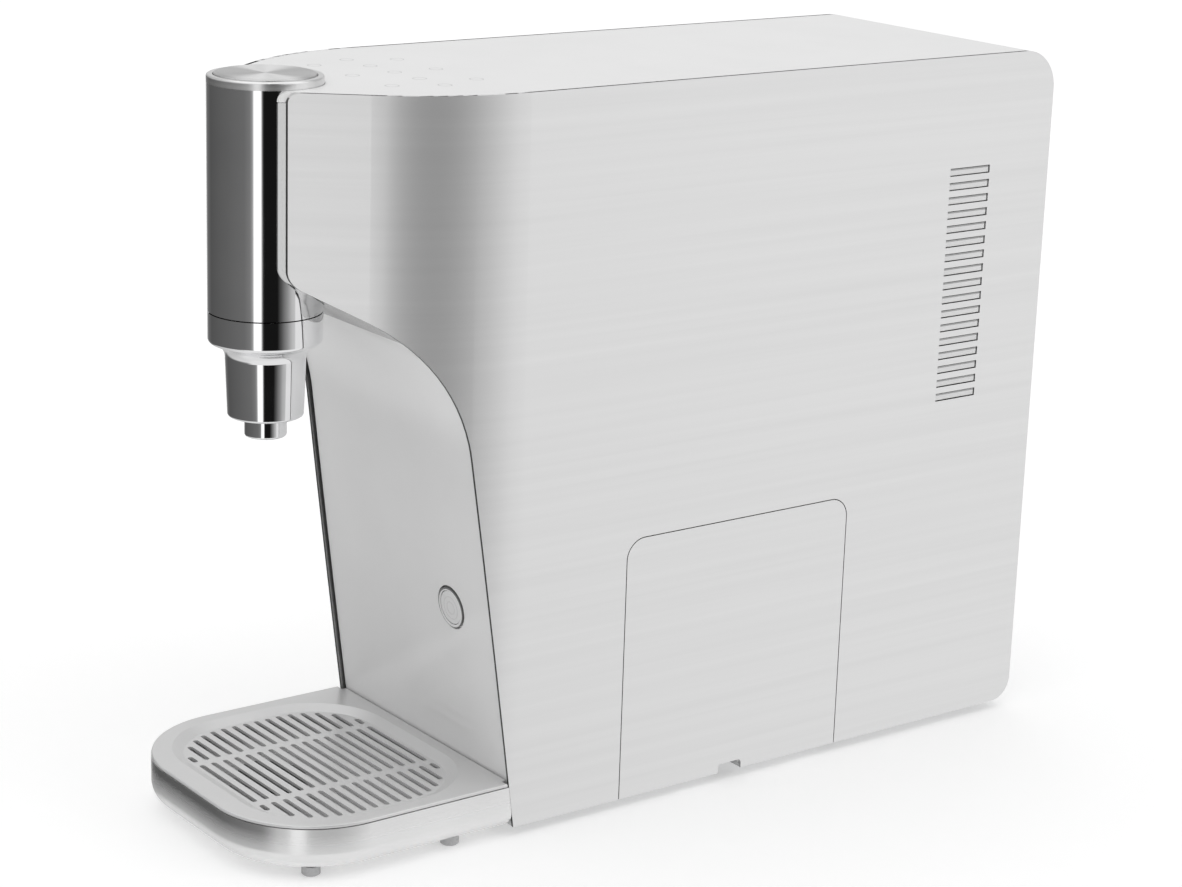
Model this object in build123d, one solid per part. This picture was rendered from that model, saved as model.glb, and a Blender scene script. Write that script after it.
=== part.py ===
from build123d import *
from math import cos, hypot, radians, sin, tan
import os

# Countertop water dispenser, in millimetres, +Z up.
# The nose and the drip tray face -Y, the back is +Y and the filter door is on the +X side.
# The origin lies on the worktop, under the middle of the whole outline.

# Overall sizes
depth = 496             # front of the drip tray to the back
body_length = 459       # nose to back
body_width = 164
body_height = 380       # side panels, without the feet
foot_height = 5

# Side view of the body
head_overhang = 105.6   # nose ahead of the alcove's foot
alcove_lean = 7.9       # degrees off vertical, leaning out at the top
knee_height = 247       # above the base, where the alcove turns under the head
knee_radius = 97
head_slope = 29.7       # degrees, underside of the head
nose_radius = 11
top_front_radius = 5
top_back_radius = 22
base_back_radius = 13

# Plan view of the body
nose_width = 66
taper = 37.3            # degrees between the flat sides and the nose
bend_radius = 123

# Casing
panel_sheet = 1.5
wall = 2.5
seam = 0.3              # between neighbouring casing pieces
alcove_recess = 2.0     # alcove panel behind the side panels' edges
alcove_side_gap = 1.6
nose_lip = 2.5          # nose moulding ahead of the side panels
rest_gap = 0.3          # between pieces that rest beside each other
fit = 0.06              # radial, running and bayonet fits

# Side louvres
louvre_count = 17
louvre_pitch = 7.87
louvre_slot = 4.4
louvre_length = 29.3
louvre_back_margin = 44.9
louvre_top_margin = 60.7
louvre_blade = 0.5      # blade sheet
louvre_blade_gap = 0.5  # above and below a blade, in its slot
louvre_blade_recess = 0.6

# Filter door and cartridges
door_length = 149.7
door_height = 143.5
door_back_margin = 135.6
door_corner = 11
door_gap = 0.5
notch_length = 16
notch_height = 5
bay_wall = 2
bay_back = -62
cartridge_radius = 30
cartridge_pitch_y = 70
cartridge_pitch_z = 66
cartridge_neck = 13
cartridge_length = 98
grip_depth = 9

# Tower
tower_radius = 28.4
tower_setback = 7       # tower's axis behind the nose
tower_wall = 2.5
tower_seam_height = 272.8
spout_radius = 18.9
spout_bottom = 219.6
spout_step = 257.6
nozzle_radius = 10.5
nozzle_drop = 10.7
nozzle_stem = 8
nozzle_bore = 5
disc_rise = 5           # push disc above the top cover
disc_travel = 1.5

# Round button in the alcove
button_radius = 9
button_x = 41
button_height = 115
button_travel = 1.2
bezel_ring = 1.9        # ring showing round the button
bezel_groove = 0.9      # between the ring and the alcove panel

# Drip tray
tray_width = 166
tray_corner = 55
tray_height = 30.2
tray_edge_radius = 10
tray_heel_radius = 5
tray_wall = 2.4
tray_gap = 0.8
plate_thickness = 1.6
slot_count = 16
slot_pitch = 6.79
slot_width = 3
slot_rib = 5            # rib between the rows of slots
slot_row = 56           # length of the middle row
grille_width = 133
grille_corner = 36
grille_setback = 17.4   # last slot ahead of the alcove
dish_depth = 2.8        # slotted area below the tray's rim
dish_margin = 2         # flat band round the slots
dish_slope = 6          # sloping band round the dish
dish_wall = 0.8         # sloping sheet, measured across the slope's foot
tray_foot_radius = 4.8

# Inside
plate = 2.5             # chassis walls
compressor_radius = 44
compressor_height = 100
fan_size = 116
fan_depth = 25
fan_blades = 7
tank_radius = 46
tank_height = 138
coil_tube = 2.8
coil_turns = 8
foam = 12
hose_radius = 3.2
hose_bore = 2

# Places worked out from the sizes above
back = depth / 2
tray_front = -depth / 2
front = back - body_length
base = foot_height
top = base + body_height
half = body_width / 2
foot_y = front + head_overhang
knee_y = foot_y - knee_height * tan(radians(alcove_lean))
knee_z = base + knee_height
bend_y = front + (half - nose_width / 2) / tan(radians(taper))
inside = half - panel_sheet - rest_gap
tower_y = front + tower_setback
door_y1 = back - door_back_margin
door_y0 = door_y1 - door_length
door_mid = (door_y0 + door_y1) / 2
door_top = base + door_height
floor_top = base + wall
bay_y0 = door_y0 + bay_wall
bay_y1 = door_y1 - bay_wall
bay_z0 = floor_top
bay_z1 = door_top - 2
bay_mid_z = (bay_z0 + bay_z1) / 2
wall_y0 = door_y1 + 3
wall_y1 = wall_y0 + plate
shelf_z0 = door_top + 6
shelf_z1 = shelf_z0 + plate
deck_z0 = shelf_z1 + 14
deck_z1 = deck_z0 + plate
ceiling = top - wall
screw_seat = back - wall - 2.2 - rest_gap   # front of the rear panel's screw bosses
disc_top = top + disc_rise

os.makedirs("parts", exist_ok=True)


# ---- shapes used all over

def box(x0, x1, y0, y1, z0, z1):
    """A block between two corners."""
    middle = Pos((x0 + x1) / 2, (y0 + y1) / 2, (z0 + z1) / 2)
    return middle * Box(x1 - x0, y1 - y0, z1 - z0)


def rod(radius, start, direction, length):
    """A round bar from a point along a direction."""
    bar = Cylinder(radius, length, align=(Align.CENTER, Align.CENTER, Align.MIN))
    return Plane(origin=start, z_dir=direction) * bar


def pipe(outer, inner, start, direction, length):
    return rod(outer, start, direction, length) - rod(inner, start, direction, length)


def turned(points, radii=None):
    """A turned piece about Z from its (radius, height) corners."""
    outline = FilletPolyline(*points, radius=radii or [0] * len(points), close=True)
    return revolve(Plane.XZ * make_face(outline), Axis.Z)


def inset_corners(points, insets):
    """Corners of a clockwise outline once each edge has moved in by its own inset."""
    lines = []
    for p, q, inset in zip(points, points[1:] + points[:1], insets):
        length = hypot(q[0] - p[0], q[1] - p[1])
        nx = (q[1] - p[1]) / length
        ny = (p[0] - q[0]) / length
        lines.append((nx, ny, nx * p[0] + ny * p[1] + inset))
    corners = []
    for (a, b, c), (d, e, f) in zip(lines[-1:] + lines[:-1], lines):
        det = a * e - b * d
        corners.append(((c * e - b * f) / det, (a * f - c * d) / det))
    return corners


def outline_face(points, insets, radii):
    corners = inset_corners(points, insets)
    return make_face(FilletPolyline(*corners, radius=radii, close=True))


def side_prism(inset=0, nose=front, reach=half + 10):
    """The body's side view, moved in by an inset, run across the width."""
    nose_z = knee_z + (knee_y - nose) * tan(radians(head_slope))
    points = [(foot_y, base), (knee_y, knee_z), (nose, nose_z), (nose, top), (back, top), (back, base)]
    insets = [inset, inset, 0, inset, inset, inset]
    radii = [
        0,
        knee_radius + inset,
        max(nose_radius - inset, 0.5),
        max(top_front_radius - inset, 0),
        max(top_back_radius - inset, 0),
        max(base_back_radius - inset, 0),
    ]
    return extrude(Plane.YZ * outline_face(points, insets, radii), reach, both=True)


def plan_prism(inset=0, nose=front, tail=back, z0=base, z1=top):
    """The body's plan, with its sides moved in by an inset, between two heights."""
    nose_half = nose_width / 2 - (front - nose) * tan(radians(taper))
    points = [(-nose_half, nose), (-half, bend_y), (-half, tail)]
    points += [(-x, y) for x, y in reversed(points)]
    bend = bend_radius - inset
    face = outline_face(points, [inset, inset, 0, inset, inset, 0], [0, bend, 0, 0, bend, 0])
    return extrude(Plane.XY.offset(z0) * face, z1 - z0)


def alcove_y(z, recess=0):
    """Where the alcove's back wall lies at a height, behind the panels' edge by a recess."""
    return foot_y - (z - base) * tan(radians(alcove_lean)) + recess / cos(radians(alcove_lean))


def pan_screw(point, direction, head=4, shank=1.8, length=10):
    """A cross-head screw whose head sits on a point and whose shank runs along a direction."""
    out = Vector(*direction) * -2.2
    start = Vector(*point)
    body = rod(head, start + out, direction, 2.2) + rod(shank, start, direction, length)
    slot = Plane(origin=start + out, z_dir=direction)
    cross = slot * (Box(4.4, 0.9, 2.4) + Box(0.9, 4.4, 2.4))
    return body - cross


def hose(points, bend=12, outer=hose_radius, inner=hose_bore):
    """A hose along straight runs joined by arcs."""
    route = FilletPolyline(*points, radius=bend) if len(points) > 2 else Line(*points)
    start = Plane(origin=route @ 0, z_dir=route % 0)
    ring = start * (Circle(outer) - Circle(inner))
    return sweep(ring, path=route)


def write(name, shape):
    export_step(shape, f"parts/{name}.step")


def group(pieces):
    return Compound(children=list(pieces))


# ---- casing

def door_block(x0, x1, gap=0):
    """The door's outline, larger by a gap all round, between two places across the body."""
    points = [(door_y0, base), (door_y0, door_top), (door_y1, door_top), (door_y1, base)]
    face = outline_face(points, [-gap] * 4, [0, door_corner + gap, door_corner + gap, 0])
    return extrude(Plane.YZ.offset(x0) * face, x1 - x0)


def louvre_heights():
    return [top - louvre_top_margin - louvre_slot / 2 - i * louvre_pitch for i in range(louvre_count)]


louvre_y1 = back - louvre_back_margin
louvre_y0 = louvre_y1 - louvre_length


def side_panel(side):
    """Brushed skin, bent in towards the nose, with its louvre slots."""
    sheet = plan_prism() - plan_prism(panel_sheet, nose=front - 5, tail=back + 5, z0=base - 1, z1=top + 1)
    sheet &= side_prism()
    sheet &= box(0, half + 1, front - 1, back + 1, base, top)
    for z in louvre_heights():
        sheet -= box(half - 4, half + 1, louvre_y0, louvre_y1, z - louvre_slot / 2, z + louvre_slot / 2)
    sheet -= rod(tower_radius + rest_gap, (0, tower_y, base - 1), (0, 0, 1), body_height + 2)
    if side < 0:
        return mirror(sheet, Plane.YZ)
    return sheet - door_block(half - 4, half + 1, door_gap)


def louvre_insert(side):
    """Blades behind the slots of one side panel, in a frame."""
    margin = 4
    x1 = half - panel_sheet - rest_gap
    z0 = louvre_heights()[-1] - louvre_slot / 2 - margin
    z1 = louvre_heights()[0] + louvre_slot / 2 + margin
    body = box(x1 - 1.5, x1, louvre_y0 - margin, louvre_y1 + margin, z0, z1)
    reach = louvre_slot / 2 - louvre_blade_gap
    face = half - louvre_blade_recess
    y0, y1 = louvre_y0 + louvre_blade_gap, louvre_y1 - louvre_blade_gap
    for z in louvre_heights():
        body -= box(x1 - 2, x1 + 1, louvre_y0 + 1, louvre_y1 - 1, z + 0.2, z + louvre_slot / 2)
        body += box(face - louvre_blade, face, y0, y1, z - reach, z + reach)
        body += box(x1 - 0.1, face, y0, y1, z - reach, z - 0.2)
    return body if side > 0 else mirror(body, Plane.YZ)


def top_cover():
    """Top skin that turns down at the back and over the nose, with bosses for the touch board."""
    nose = front - nose_lip
    skin = side_prism(0, nose) - side_prism(wall, nose + wall)
    skin &= box(-half, half, nose - 1, back + 1, top - top_back_radius, top + 1)
    skin -= box(-half, half, nose - 1, back - top_back_radius, top - top_back_radius - 1, top - wall * 2)
    skin &= plan_prism(panel_sheet + seam, nose=nose, z0=base, z1=top + 1)
    skin -= rod(tower_radius + rest_gap, (0, tower_y, top - 20), (0, 0, 1), 40)
    for x, y in touch_board_corners():
        skin += rod(3, (x, y, touch_board_z + 1.6), (0, 0, 1), ceiling - touch_board_z - 1)
    return skin


def nose_moulding():
    """Collar round the tower that carries the nose and the lip under the head."""
    nose = front - nose_lip
    side = panel_sheet + seam + 0.6
    z1 = top - wall * 2 - seam
    y1 = front + 48
    block = plan_prism(side, nose=nose, z0=base, z1=z1) & side_prism(0.8, nose)
    block &= box(-half, half, nose - 1, y1, base, z1)
    hollow = plan_prism(side + 3, nose=nose, z0=base, z1=z1 + 1) & side_prism(3.8, nose)
    block -= hollow & box(-half, half, tower_y, y1 + 1, base, z1 + 1)
    return block - rod(tower_radius + rest_gap, (0, tower_y, base), (0, 0, 1), body_height)


def alcove_panel():
    """Satin wall behind the cup that sweeps forward under the head."""
    skin = side_prism(alcove_recess) - side_prism(alcove_recess + wall)
    skin &= plan_prism(panel_sheet + alcove_side_gap, z0=base, z1=top)
    skin &= box(-half, half, front + 48 + seam, foot_y + 10, floor_top, knee_z + 60)
    skin -= button_place() * Pos(0, 0, -10) * Cylinder(button_radius + bezel_ring + bezel_groove, 40)
    for x in tray_tongue_places():
        skin -= box(x - 10.6, x + 10.6, foot_y - 10, foot_y + 10, tongue_z0 - 0.6, tongue_z1 + 0.6)
    return skin


pocket_x0, pocket_x1 = 38, 76
pocket_z0, pocket_z1 = base + 33, base + 93
pocket_floor = back - 25


pocket_mid = (pocket_x0 + pocket_x1) / 2
fitting_places = [(pocket_mid, pocket_z1 - 16), (pocket_mid, pocket_z0 + 16)]
gland_x, gland_z = -58, base + 50
rear_screw_places = [(x, z) for x in (-60, 60) for z in (base + 21, deck_z0 - 5)]


def rear_panel():
    """Back skin with exhaust slots, a pocket for the water fittings and the cord gland's hole."""
    skin = side_prism() - side_prism(wall)
    skin &= box(-half, half, back - base_back_radius, back + 1, base, top - top_back_radius - seam)
    skin &= plan_prism(panel_sheet + seam)
    for column in (-1, 1):
        for i in range(16):
            z = deck_z1 + 22 + i * 8
            skin -= box(column * 34 - 26, column * 34 + 26, back - 5, back + 1, z, z + 3.5)
    pocket = box(pocket_x0, pocket_x1, pocket_floor, back, pocket_z0, pocket_z1)
    shell = box(pocket_x0 - 2, pocket_x1 + 2, pocket_floor - 2, back - 1, pocket_z0 - 2, pocket_z1 + 2)
    skin = skin + shell - pocket
    for x, z in fitting_places:
        skin -= rod(6 + rest_gap, (x, pocket_floor - 5, z), (0, 1, 0), 10)
    skin -= rod(7 + rest_gap, (gland_x, back - 6, gland_z), (0, 1, 0), 10)
    for x, z in rear_screw_places:
        skin -= rod(2.1, (x, back - 6, z), (0, 1, 0), 10)
        skin -= rod(4.4, (x, back - 2.2 - 0.1, z), (0, 1, 0), 10)
        skin += pipe(4.6, 2.1, (x, back - wall - 2.2, z), (0, 1, 0), 2.3)
    return skin


def base_pan():
    """Floor plate with side flanges, rear screw blocks and air slots under the compressor."""
    y1 = back - base_back_radius - seam
    pan = box(-half, half, foot_y + rest_gap, y1, base, floor_top) & plan_prism(panel_sheet + seam)
    for side in (-1, 1):
        x0 = side * (inside - 1.2)
        x1 = side * inside
        pan += box(min(x0, x1), max(x0, x1), wall_y1 + 6, y1 - 6, floor_top - 0.1, floor_top + 8)
    for x in (-60, 60):
        pan += box(x - 6, x + 6, back - 28, y1, floor_top - 0.1, base + 29)
        pan += box(x - 6, x + 6, y1 - 0.1, screw_seat, base + base_back_radius + 1, base + 29)
        pan -= rod(1.8, (x, back - 20, base + 21), (0, 1, 0), 20)
    for i in range(9):
        x = -60 + i * 9
        pan -= box(x, x + 4, wall_y1 + 40, wall_y1 + 80, base - 1, floor_top + 1)
    pan -= box(inside - 8, half, door_mid - notch_length / 2, door_mid + notch_length / 2, base - 1, base + 4)
    for x, y in base_screw_places:
        pan -= rod(2.1, (x, y, base - 1), (0, 0, 1), 5)
    heel = tray_rear(rest_gap + 0.1 - alcove_recess - fit, base, plate_z0, tray_heel_radius)
    return pan - (heel & box(-half, half, foot_y - 20, foot_y + 20, base, plate_z0))


base_screw_places = [(x, wall_y0 + plate / 2) for x in (-68, 68)]
web_x0, web_x1 = 47, 49
web_y0 = front + 51
web_y1 = wall_y0 - 2 * (tank_radius + 2 * coil_tube + foam + 1) - 4
web_top = touch_board_z = top - 9


def chassis_frame():
    """Inner frame: partition behind the filters, shelf for the tank, deck for the fan, head webs."""
    frame = box(-inside, inside, wall_y0, wall_y1, floor_top, ceiling - rest_gap)
    frame -= box(-40, 40, wall_y0 - 1, wall_y1 + 1, deck_z1 + 20, deck_z1 + 110)
    frame += box(-inside, inside, wall_y1 - 0.1, screw_seat, deck_z0, deck_z1)
    shelf = box(-half, half, front, wall_y0 + 0.1, shelf_z0, shelf_z1)
    webs = [box(s * 48 - 1, s * 48 + 1, web_y0, web_y1, shelf_z0, web_top - 4) for s in (-1, 1)]
    front_frame = shelf + webs[0] + webs[1]
    front_frame &= side_prism(alcove_recess + wall + rest_gap)
    front_frame &= plan_prism(panel_sheet + rest_gap)
    front_frame -= rod(hose_radius + rest_gap, (hose_x, door_mid, shelf_z0 - 1), (0, 0, 1), plate + 2)
    frame += front_frame
    for x, z in rear_screw_places[1::2]:
        frame += box(x - 6, x + 6, back - 28, screw_seat, z - 6, deck_z0 + 0.1)
        frame -= rod(1.8, (x, back - 20, z), (0, 1, 0), 20)
    for x, y in base_screw_places:
        frame += box(x - 6, x + 6, wall_y1 - 0.1, wall_y1 + 7, floor_top, floor_top + 14)
        frame += box(x - 6, x + 6, wall_y0 - 2, wall_y0 + 0.1, floor_top, floor_top + 14)
        frame -= rod(1.8, (x, y, floor_top - 1), (0, 0, 1), 13)
    return frame


def feet(places, radius):
    """Rubber pads with a chamfered lower edge."""
    pad = chamfer(Cylinder(radius, foot_height).edges().sort_by(Axis.Z)[0], 0.6)
    return [Pos(x, y, foot_height / 2) * pad for x, y in places]


# ---- tower

def at_tower(shape):
    return Pos(0, tower_y, 0) * shape


column_radius = 12
core_levels = (spout_step + 6, tower_seam_height + 4, tower_seam_height + 52, top - 15)
core_top = core_levels[-1] + 3
window_z0, window_z1 = core_levels[2] + 8, core_levels[2] + 24
hose_port_z = core_levels[2] - 12


def tower_shell():
    """Chrome column with a window at the back for its bracket and hose."""
    z0 = tower_seam_height + seam
    tube = pipe(tower_radius, tower_radius - tower_wall, (0, 0, z0), (0, 0, 1), top - z0)
    tube -= box(-16, 16, 0, tower_radius + 1, hose_port_z - 8, window_z1 + 2)
    return at_tower(tube)


def spout_cover():
    """Chrome housing that steps in below the seam and ends round the nozzle."""
    z1 = tower_seam_height - seam
    r = tower_radius
    mouth = nozzle_radius + 0.5
    waist = spout_radius + 1.3
    points = [(r, z1), (r, spout_step), (waist, spout_step - 3.4)]
    points += [(spout_radius, spout_bottom), (mouth, spout_bottom)]
    radii = [0, 2.2, 7, 1.2, 0]
    points += [(mouth, spout_bottom + 2), (spout_radius - 2, spout_bottom + 2), (waist - 2, spout_step - 5.5)]
    points += [(r - tower_wall, spout_step + 2), (r - tower_wall, z1)]
    return at_tower(turned(points, radii + [0] * 5))


def tower_core():
    """Inner column with locating discs, a socket for the nozzle and a tongue to the bracket."""
    bottom = spout_bottom + 2.4
    core = rod(column_radius, (0, 0, bottom), (0, 0, 1), core_top - bottom)
    for z in core_levels:
        core += rod(tower_radius - tower_wall - rest_gap, (0, 0, z), (0, 0, 1), 3)
    core += box(-14, 14, 0, tower_arm, window_z0, window_z1 - 2)
    core += rod(6, (0, 0, hose_port_z), (0, 1, 0), 20)
    core -= rod(nozzle_stem + fit, (0, 0, bottom - 1), (0, 0, 1), 18)
    core -= rod(nozzle_stem + 2, (0, 0, bottom + 8), (0, 0, 1), 4)
    for angle in (0, 180):
        core -= Rot(0, 0, angle) * box(nozzle_stem - 1, nozzle_stem + 2, -2.3, 2.3, bottom - 1, bottom + 10)
    core -= rod(4, (0, 0, bottom), (0, 0, 1), hose_port_z - bottom)
    core -= rod(hose_bore, (0, 0, hose_port_z), (0, 1, 0), 30)
    return at_tower(core)


tower_arm = web_y0 - plate - tower_y


def nozzle_tip():
    """Chrome tip with a bayonet stem and a water way."""
    bottom = spout_bottom - nozzle_drop
    shoulder = spout_bottom + 2.1
    stem_top = shoulder + 15
    r = nozzle_radius
    points = [(nozzle_bore, bottom), (r, bottom), (r, shoulder), (nozzle_stem, shoulder)]
    points += [(nozzle_stem, stem_top), (nozzle_bore, stem_top)]
    tip = turned(points, [0, 1.2, 0.6, 0, 0.6, 0])
    for angle in (90, 270):
        lug = box(nozzle_stem - 1, nozzle_stem + 1.7, -2, 2, shoulder + 8.8, shoulder + 11.8)
        tip += Rot(0, 0, angle) * lug
    return at_tower(tip)


def tower_top_ring():
    r = tower_radius
    z1 = disc_top - 1
    points = [(r - 3.2, top), (r, top), (r, z1), (r - 3.2, z1)]
    return at_tower(turned(points, [0, 0, 1.1, 0.5]))


def dispense_disc():
    """Spun-metal push disc with a plunger underneath."""
    r = tower_radius - 3.2 - rest_gap
    points = [(0, top - 1), (r, top - 1), (r, disc_top - 0.6), (r - 2, disc_top), (0, disc_top - 0.5)]
    disc = turned(points, [0, 0, 0.5, 0, 0])
    disc += rod(5, (0, 0, core_top + 7.5), (0, 0, 1), top - core_top - 8)
    return at_tower(disc)


def disc_spring():
    """Return spring as a stack of rings round the plunger."""
    count = 7
    z0 = core_top + 0.7
    pitch = (top - 1 - 0.7 - z0) / (count - 1)
    return group(at_tower(Pos(0, 0, z0 + i * pitch) * Torus(7.2, 0.6)) for i in range(count))


def disc_switch():
    body = box(-4, 4, -4, 4, core_top, core_top + 4.5)
    return at_tower(body + rod(1.6, (0, 0, core_top + 4.4), (0, 0, 1), 1))


def tower_bracket():
    """Steel plate across the ends of the head webs, with arms bolted along them."""
    y1 = web_y0
    z0, z1 = window_z0 - 34, window_z1 + 8
    plate_body = box(-web_x1, web_x1, y1 - plate, y1, z0, z1)
    plate_body -= box(-12, 12, y1 - plate - 1, y1 + 1, hose_port_z - 7, hose_port_z + 7)
    for side in (-1, 1):
        x0, x1 = sorted((side * web_x1, side * (web_x1 + 2)))
        plate_body += box(x0, x1, y1 - plate, y1 + 26, z0 + 8, z1)
    return plate_body & plan_prism(panel_sheet + 1, z0=base, z1=top)


# ---- round button in the alcove

def button_place():
    """Plane on the alcove panel's face, looking out of it."""
    lean = radians(alcove_lean)
    origin = (button_x, alcove_y(base + button_height - 5, alcove_recess), base + button_height - 5)
    return Plane(origin=origin, x_dir=(1, 0, 0), z_dir=(0, -cos(lean), -sin(lean)))


def round_button():
    cap = Pos(0, 0, -1.3) * Cylinder(button_radius, 3.4)
    cap = fillet(cap.edges().sort_by(Axis.Z)[-1], 0.5)
    cap += Pos(0, 0, -6.2) * Cylinder(2.5, 6.6)
    return button_place() * cap


def button_bezel():
    """Cup with a thin outer ring, held by a flange behind the panel."""
    cup = Pos(0, 0, -7.7) * Cylinder(button_radius + 2.5, 16.6)
    cup -= Pos(0, 0, -6.5) * Cylinder(button_radius + rest_gap, 15)
    flange = Cylinder(button_radius + 6, 1.8) - Cylinder(button_radius + 1, 1.8)
    cup += Pos(0, 0, -wall - rest_gap - 0.9) * flange
    groove = Cylinder(button_radius + 4, wall) - Cylinder(button_radius + bezel_ring, wall)
    cup -= Pos(0, 0, 1 - wall / 2) * groove
    return button_place() * cup


def button_switch():
    body = Pos(0, 0, -12.7) * Box(6, 6, 2.6)
    body += Pos(0, 0, -11.15) * Cylinder(1.5, 0.7)
    return button_place() * body


# ---- drip tray

tongue_z0, tongue_z1 = base + 4, base + 8
tray_half = tray_width / 2
plate_z0 = tray_height - plate_thickness


def tray_tongue_places():
    return (-50, 50)


def tray_prism(inset, z0, z1, edge=0):
    """The tray's plan between two heights, run on behind its rear edge."""
    y1 = foot_y + 30
    points = [(-tray_half, tray_front), (-tray_half, y1), (tray_half, y1), (tray_half, tray_front)]
    corner = tray_corner - inset
    face = outline_face(points, [inset] * 4, [corner, 0, 0, corner])
    block = extrude(Plane.XY.offset(z0) * face, z1 - z0)
    if edge:
        block = fillet(block.faces().sort_by(Axis.Z)[0].edges(), edge)
    return block


def tray_rear(gap, z0, z1, heel=0):
    """Everything ahead of the alcove by a gap, with a rounded heel."""
    slack = gap / cos(radians(alcove_lean))
    y0 = alcove_y(z0) - slack
    y1 = alcove_y(z1) - slack
    points = [(tray_front - 1, z0), (tray_front - 1, z1), (y1, z1), (y0, z0)]
    face = make_face(FilletPolyline(*points, radius=[0, 0, 0, heel], close=True))
    return extrude(Plane.YZ * face, tray_half + 1, both=True)


def tray_block(inset, z0, z1, edge=0, heel=0):
    """Outline of the tray: its middle reaches in to the recessed alcove panel."""
    reach = tray_rear(tray_gap + inset, z0, z1, heel)
    middle = tray_rear(rest_gap + 0.1 - alcove_recess + inset, z0, z1, heel)
    middle &= box(inset + 4 - half, half - 4 - inset, tray_front - 5, foot_y + 40, z0, z1)
    return tray_prism(inset, z0, z1, edge) & (reach + middle)


def tray_body():
    """Satin shell with a rounded lower edge and two tongues that hook into the base."""
    z1 = plate_z0 - rest_gap
    shell = tray_block(0, base, z1, tray_edge_radius, tray_heel_radius)
    shell -= tray_block(tray_wall, base + tray_wall, z1 + 1, tray_edge_radius - tray_wall)
    for x in tray_tongue_places():
        shell += box(x - 10, x + 10, foot_y - 4, foot_y + 8, tongue_z0, tongue_z1)
    return shell


basin_floor = base + 10


def drip_basin():
    """Liner with a floor, legs and an oval sump under the nozzle."""
    inset = tray_wall + rest_gap
    z1 = plate_z0 - rest_gap
    tub = tray_block(inset, basin_floor, z1) - tray_block(inset + 1.5, basin_floor + 1.5, z1 + 1)
    sump = Pos(0, tower_y + 4, 0) * Plane.XY.offset(base + tray_wall + rest_gap)
    depth_of_sump = basin_floor + 1.5 - base - tray_wall - rest_gap
    tub += extrude(sump * Ellipse(30, 21), depth_of_sump)
    tub -= Pos(0, 0, 1.5) * extrude(sump * Ellipse(28.5, 19.5), depth_of_sump)
    for x in (-58, 58):
        for y in (tray_front + 50, foot_y - 22):
            tub += rod(4, (x, y, base + tray_wall + rest_gap), (0, 0, 1), depth_of_sump - 1)
    return tub


last_slot = foot_y - grille_setback - slot_width / 2
slots_length = (slot_count - 1) * slot_pitch + slot_width
slots_middle = last_slot + slot_width / 2 - slots_length / 2


def grille_slots():
    """Round-ended slots across the plate in three rows, inside a rounded outline."""
    z0 = plate_z0 - dish_depth - 1
    inner = slot_row / 2
    slots = []
    for i in range(slot_count):
        y = last_slot - i * slot_pitch
        past = max(abs(y - slots_middle) - (slots_length / 2 - grille_corner), 0)
        reach = grille_width / 2 - grille_corner + (grille_corner ** 2 - past ** 2) ** 0.5
        rows = [(-inner, inner)]
        if reach - inner - slot_rib > slot_width + 0.5:
            rows += [(-reach, -inner - slot_rib), (inner + slot_rib, reach)]
        for x0, x1 in rows:
            end = Pos((x0 + x1) / 2, y, z0) * SlotOverall(x1 - x0, slot_width)
            slots.append(extrude(end, plate_thickness + 2))
    return slots


def dish(z, grow=0):
    """Bowl of the slotted area, with its mouth at a height."""
    def ring(spread):
        spread += grow
        return RectangleRounded(grille_width + 2 * spread, slots_length + 2 * spread, grille_corner + spread)

    mouth = Pos(0, slots_middle, z) * ring(dish_margin + dish_slope)
    floor = Pos(0, slots_middle, z - dish_depth) * ring(dish_margin)
    return loft([floor, mouth])


def drip_grille():
    """Satin dished plate that lifts off, with a locating rib inside each side of the basin."""
    inset = 0.4
    plate_body = tray_block(inset, plate_z0, tray_height)
    edges = plate_body.faces().sort_by(Axis.Z)[-1].edges()
    plate_body = fillet(edges, 0.7)
    rib = tray_wall + rest_gap + 1.5 + rest_gap
    rim = tray_block(rib, plate_z0 - 3, plate_z0 + 0.1) - tray_block(rib + 1.5, plate_z0 - 4, plate_z0 + 0.2)
    straight = box(-half, half, tray_front + tray_corner + 5, foot_y - 15, plate_z0 - 3, plate_z0 + 0.1)
    plate_body += rim & straight
    plate_body += dish(plate_z0, dish_wall)
    plate_body -= dish(tray_height)
    for slot in grille_slots():
        plate_body -= slot
    return plate_body


def tray_foot_places():
    return [(s * x, y) for s in (-1, 1) for x, y in ((65, front - 5), (71, foot_y - 32))]


# ---- filters

def filter_bay():
    """Liner tub for the cartridges, open towards the door."""
    x1 = half - panel_sheet - rest_gap
    y0, y1 = bay_y0 + bay_wall, bay_y1 - bay_wall
    z0, z1 = bay_z0 + bay_wall, bay_z1 - bay_wall
    reach = notch_length / 2
    tub = box(bay_back, x1, bay_y0, bay_y1, bay_z0, bay_z1)
    tub -= box(bay_back + bay_wall, x1 + 1, y0, y1, z0, z1)
    tub -= box(x1 - 8, x1 + 1, door_mid - reach, door_mid + reach, bay_z0 - 1, z0 + 1)
    for near, far in ((y0 - 0.1, y0 + 9), (y1 - 9, y1 + 0.1)):
        tub += box(catch_x0 - 8, catch_x0, near, far, bay_mid_z - 5, bay_mid_z + 5)
    for z in manifold_ports:
        tub -= rod(hose_radius + rest_gap, (bay_back - 1, door_mid, z), (1, 0, 0), 10)
    return tub


manifold_ports = (bay_mid_z - 20, bay_mid_z + 20)
liner_x0 = half - panel_sheet - 3
catch_x0 = liner_x0 - 2.5 - 0.3 - 1.5
cartridge_front = liner_x0 - 2 - grip_depth
cartridge_back = cartridge_front - cartridge_length
manifold_front = cartridge_back - rest_gap
cartridge_places = [
    (door_mid + sy * cartridge_pitch_y / 2, bay_mid_z + sz * cartridge_pitch_z / 2)
    for sz in (-1, 1)
    for sy in (-1, 1)
]


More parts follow.
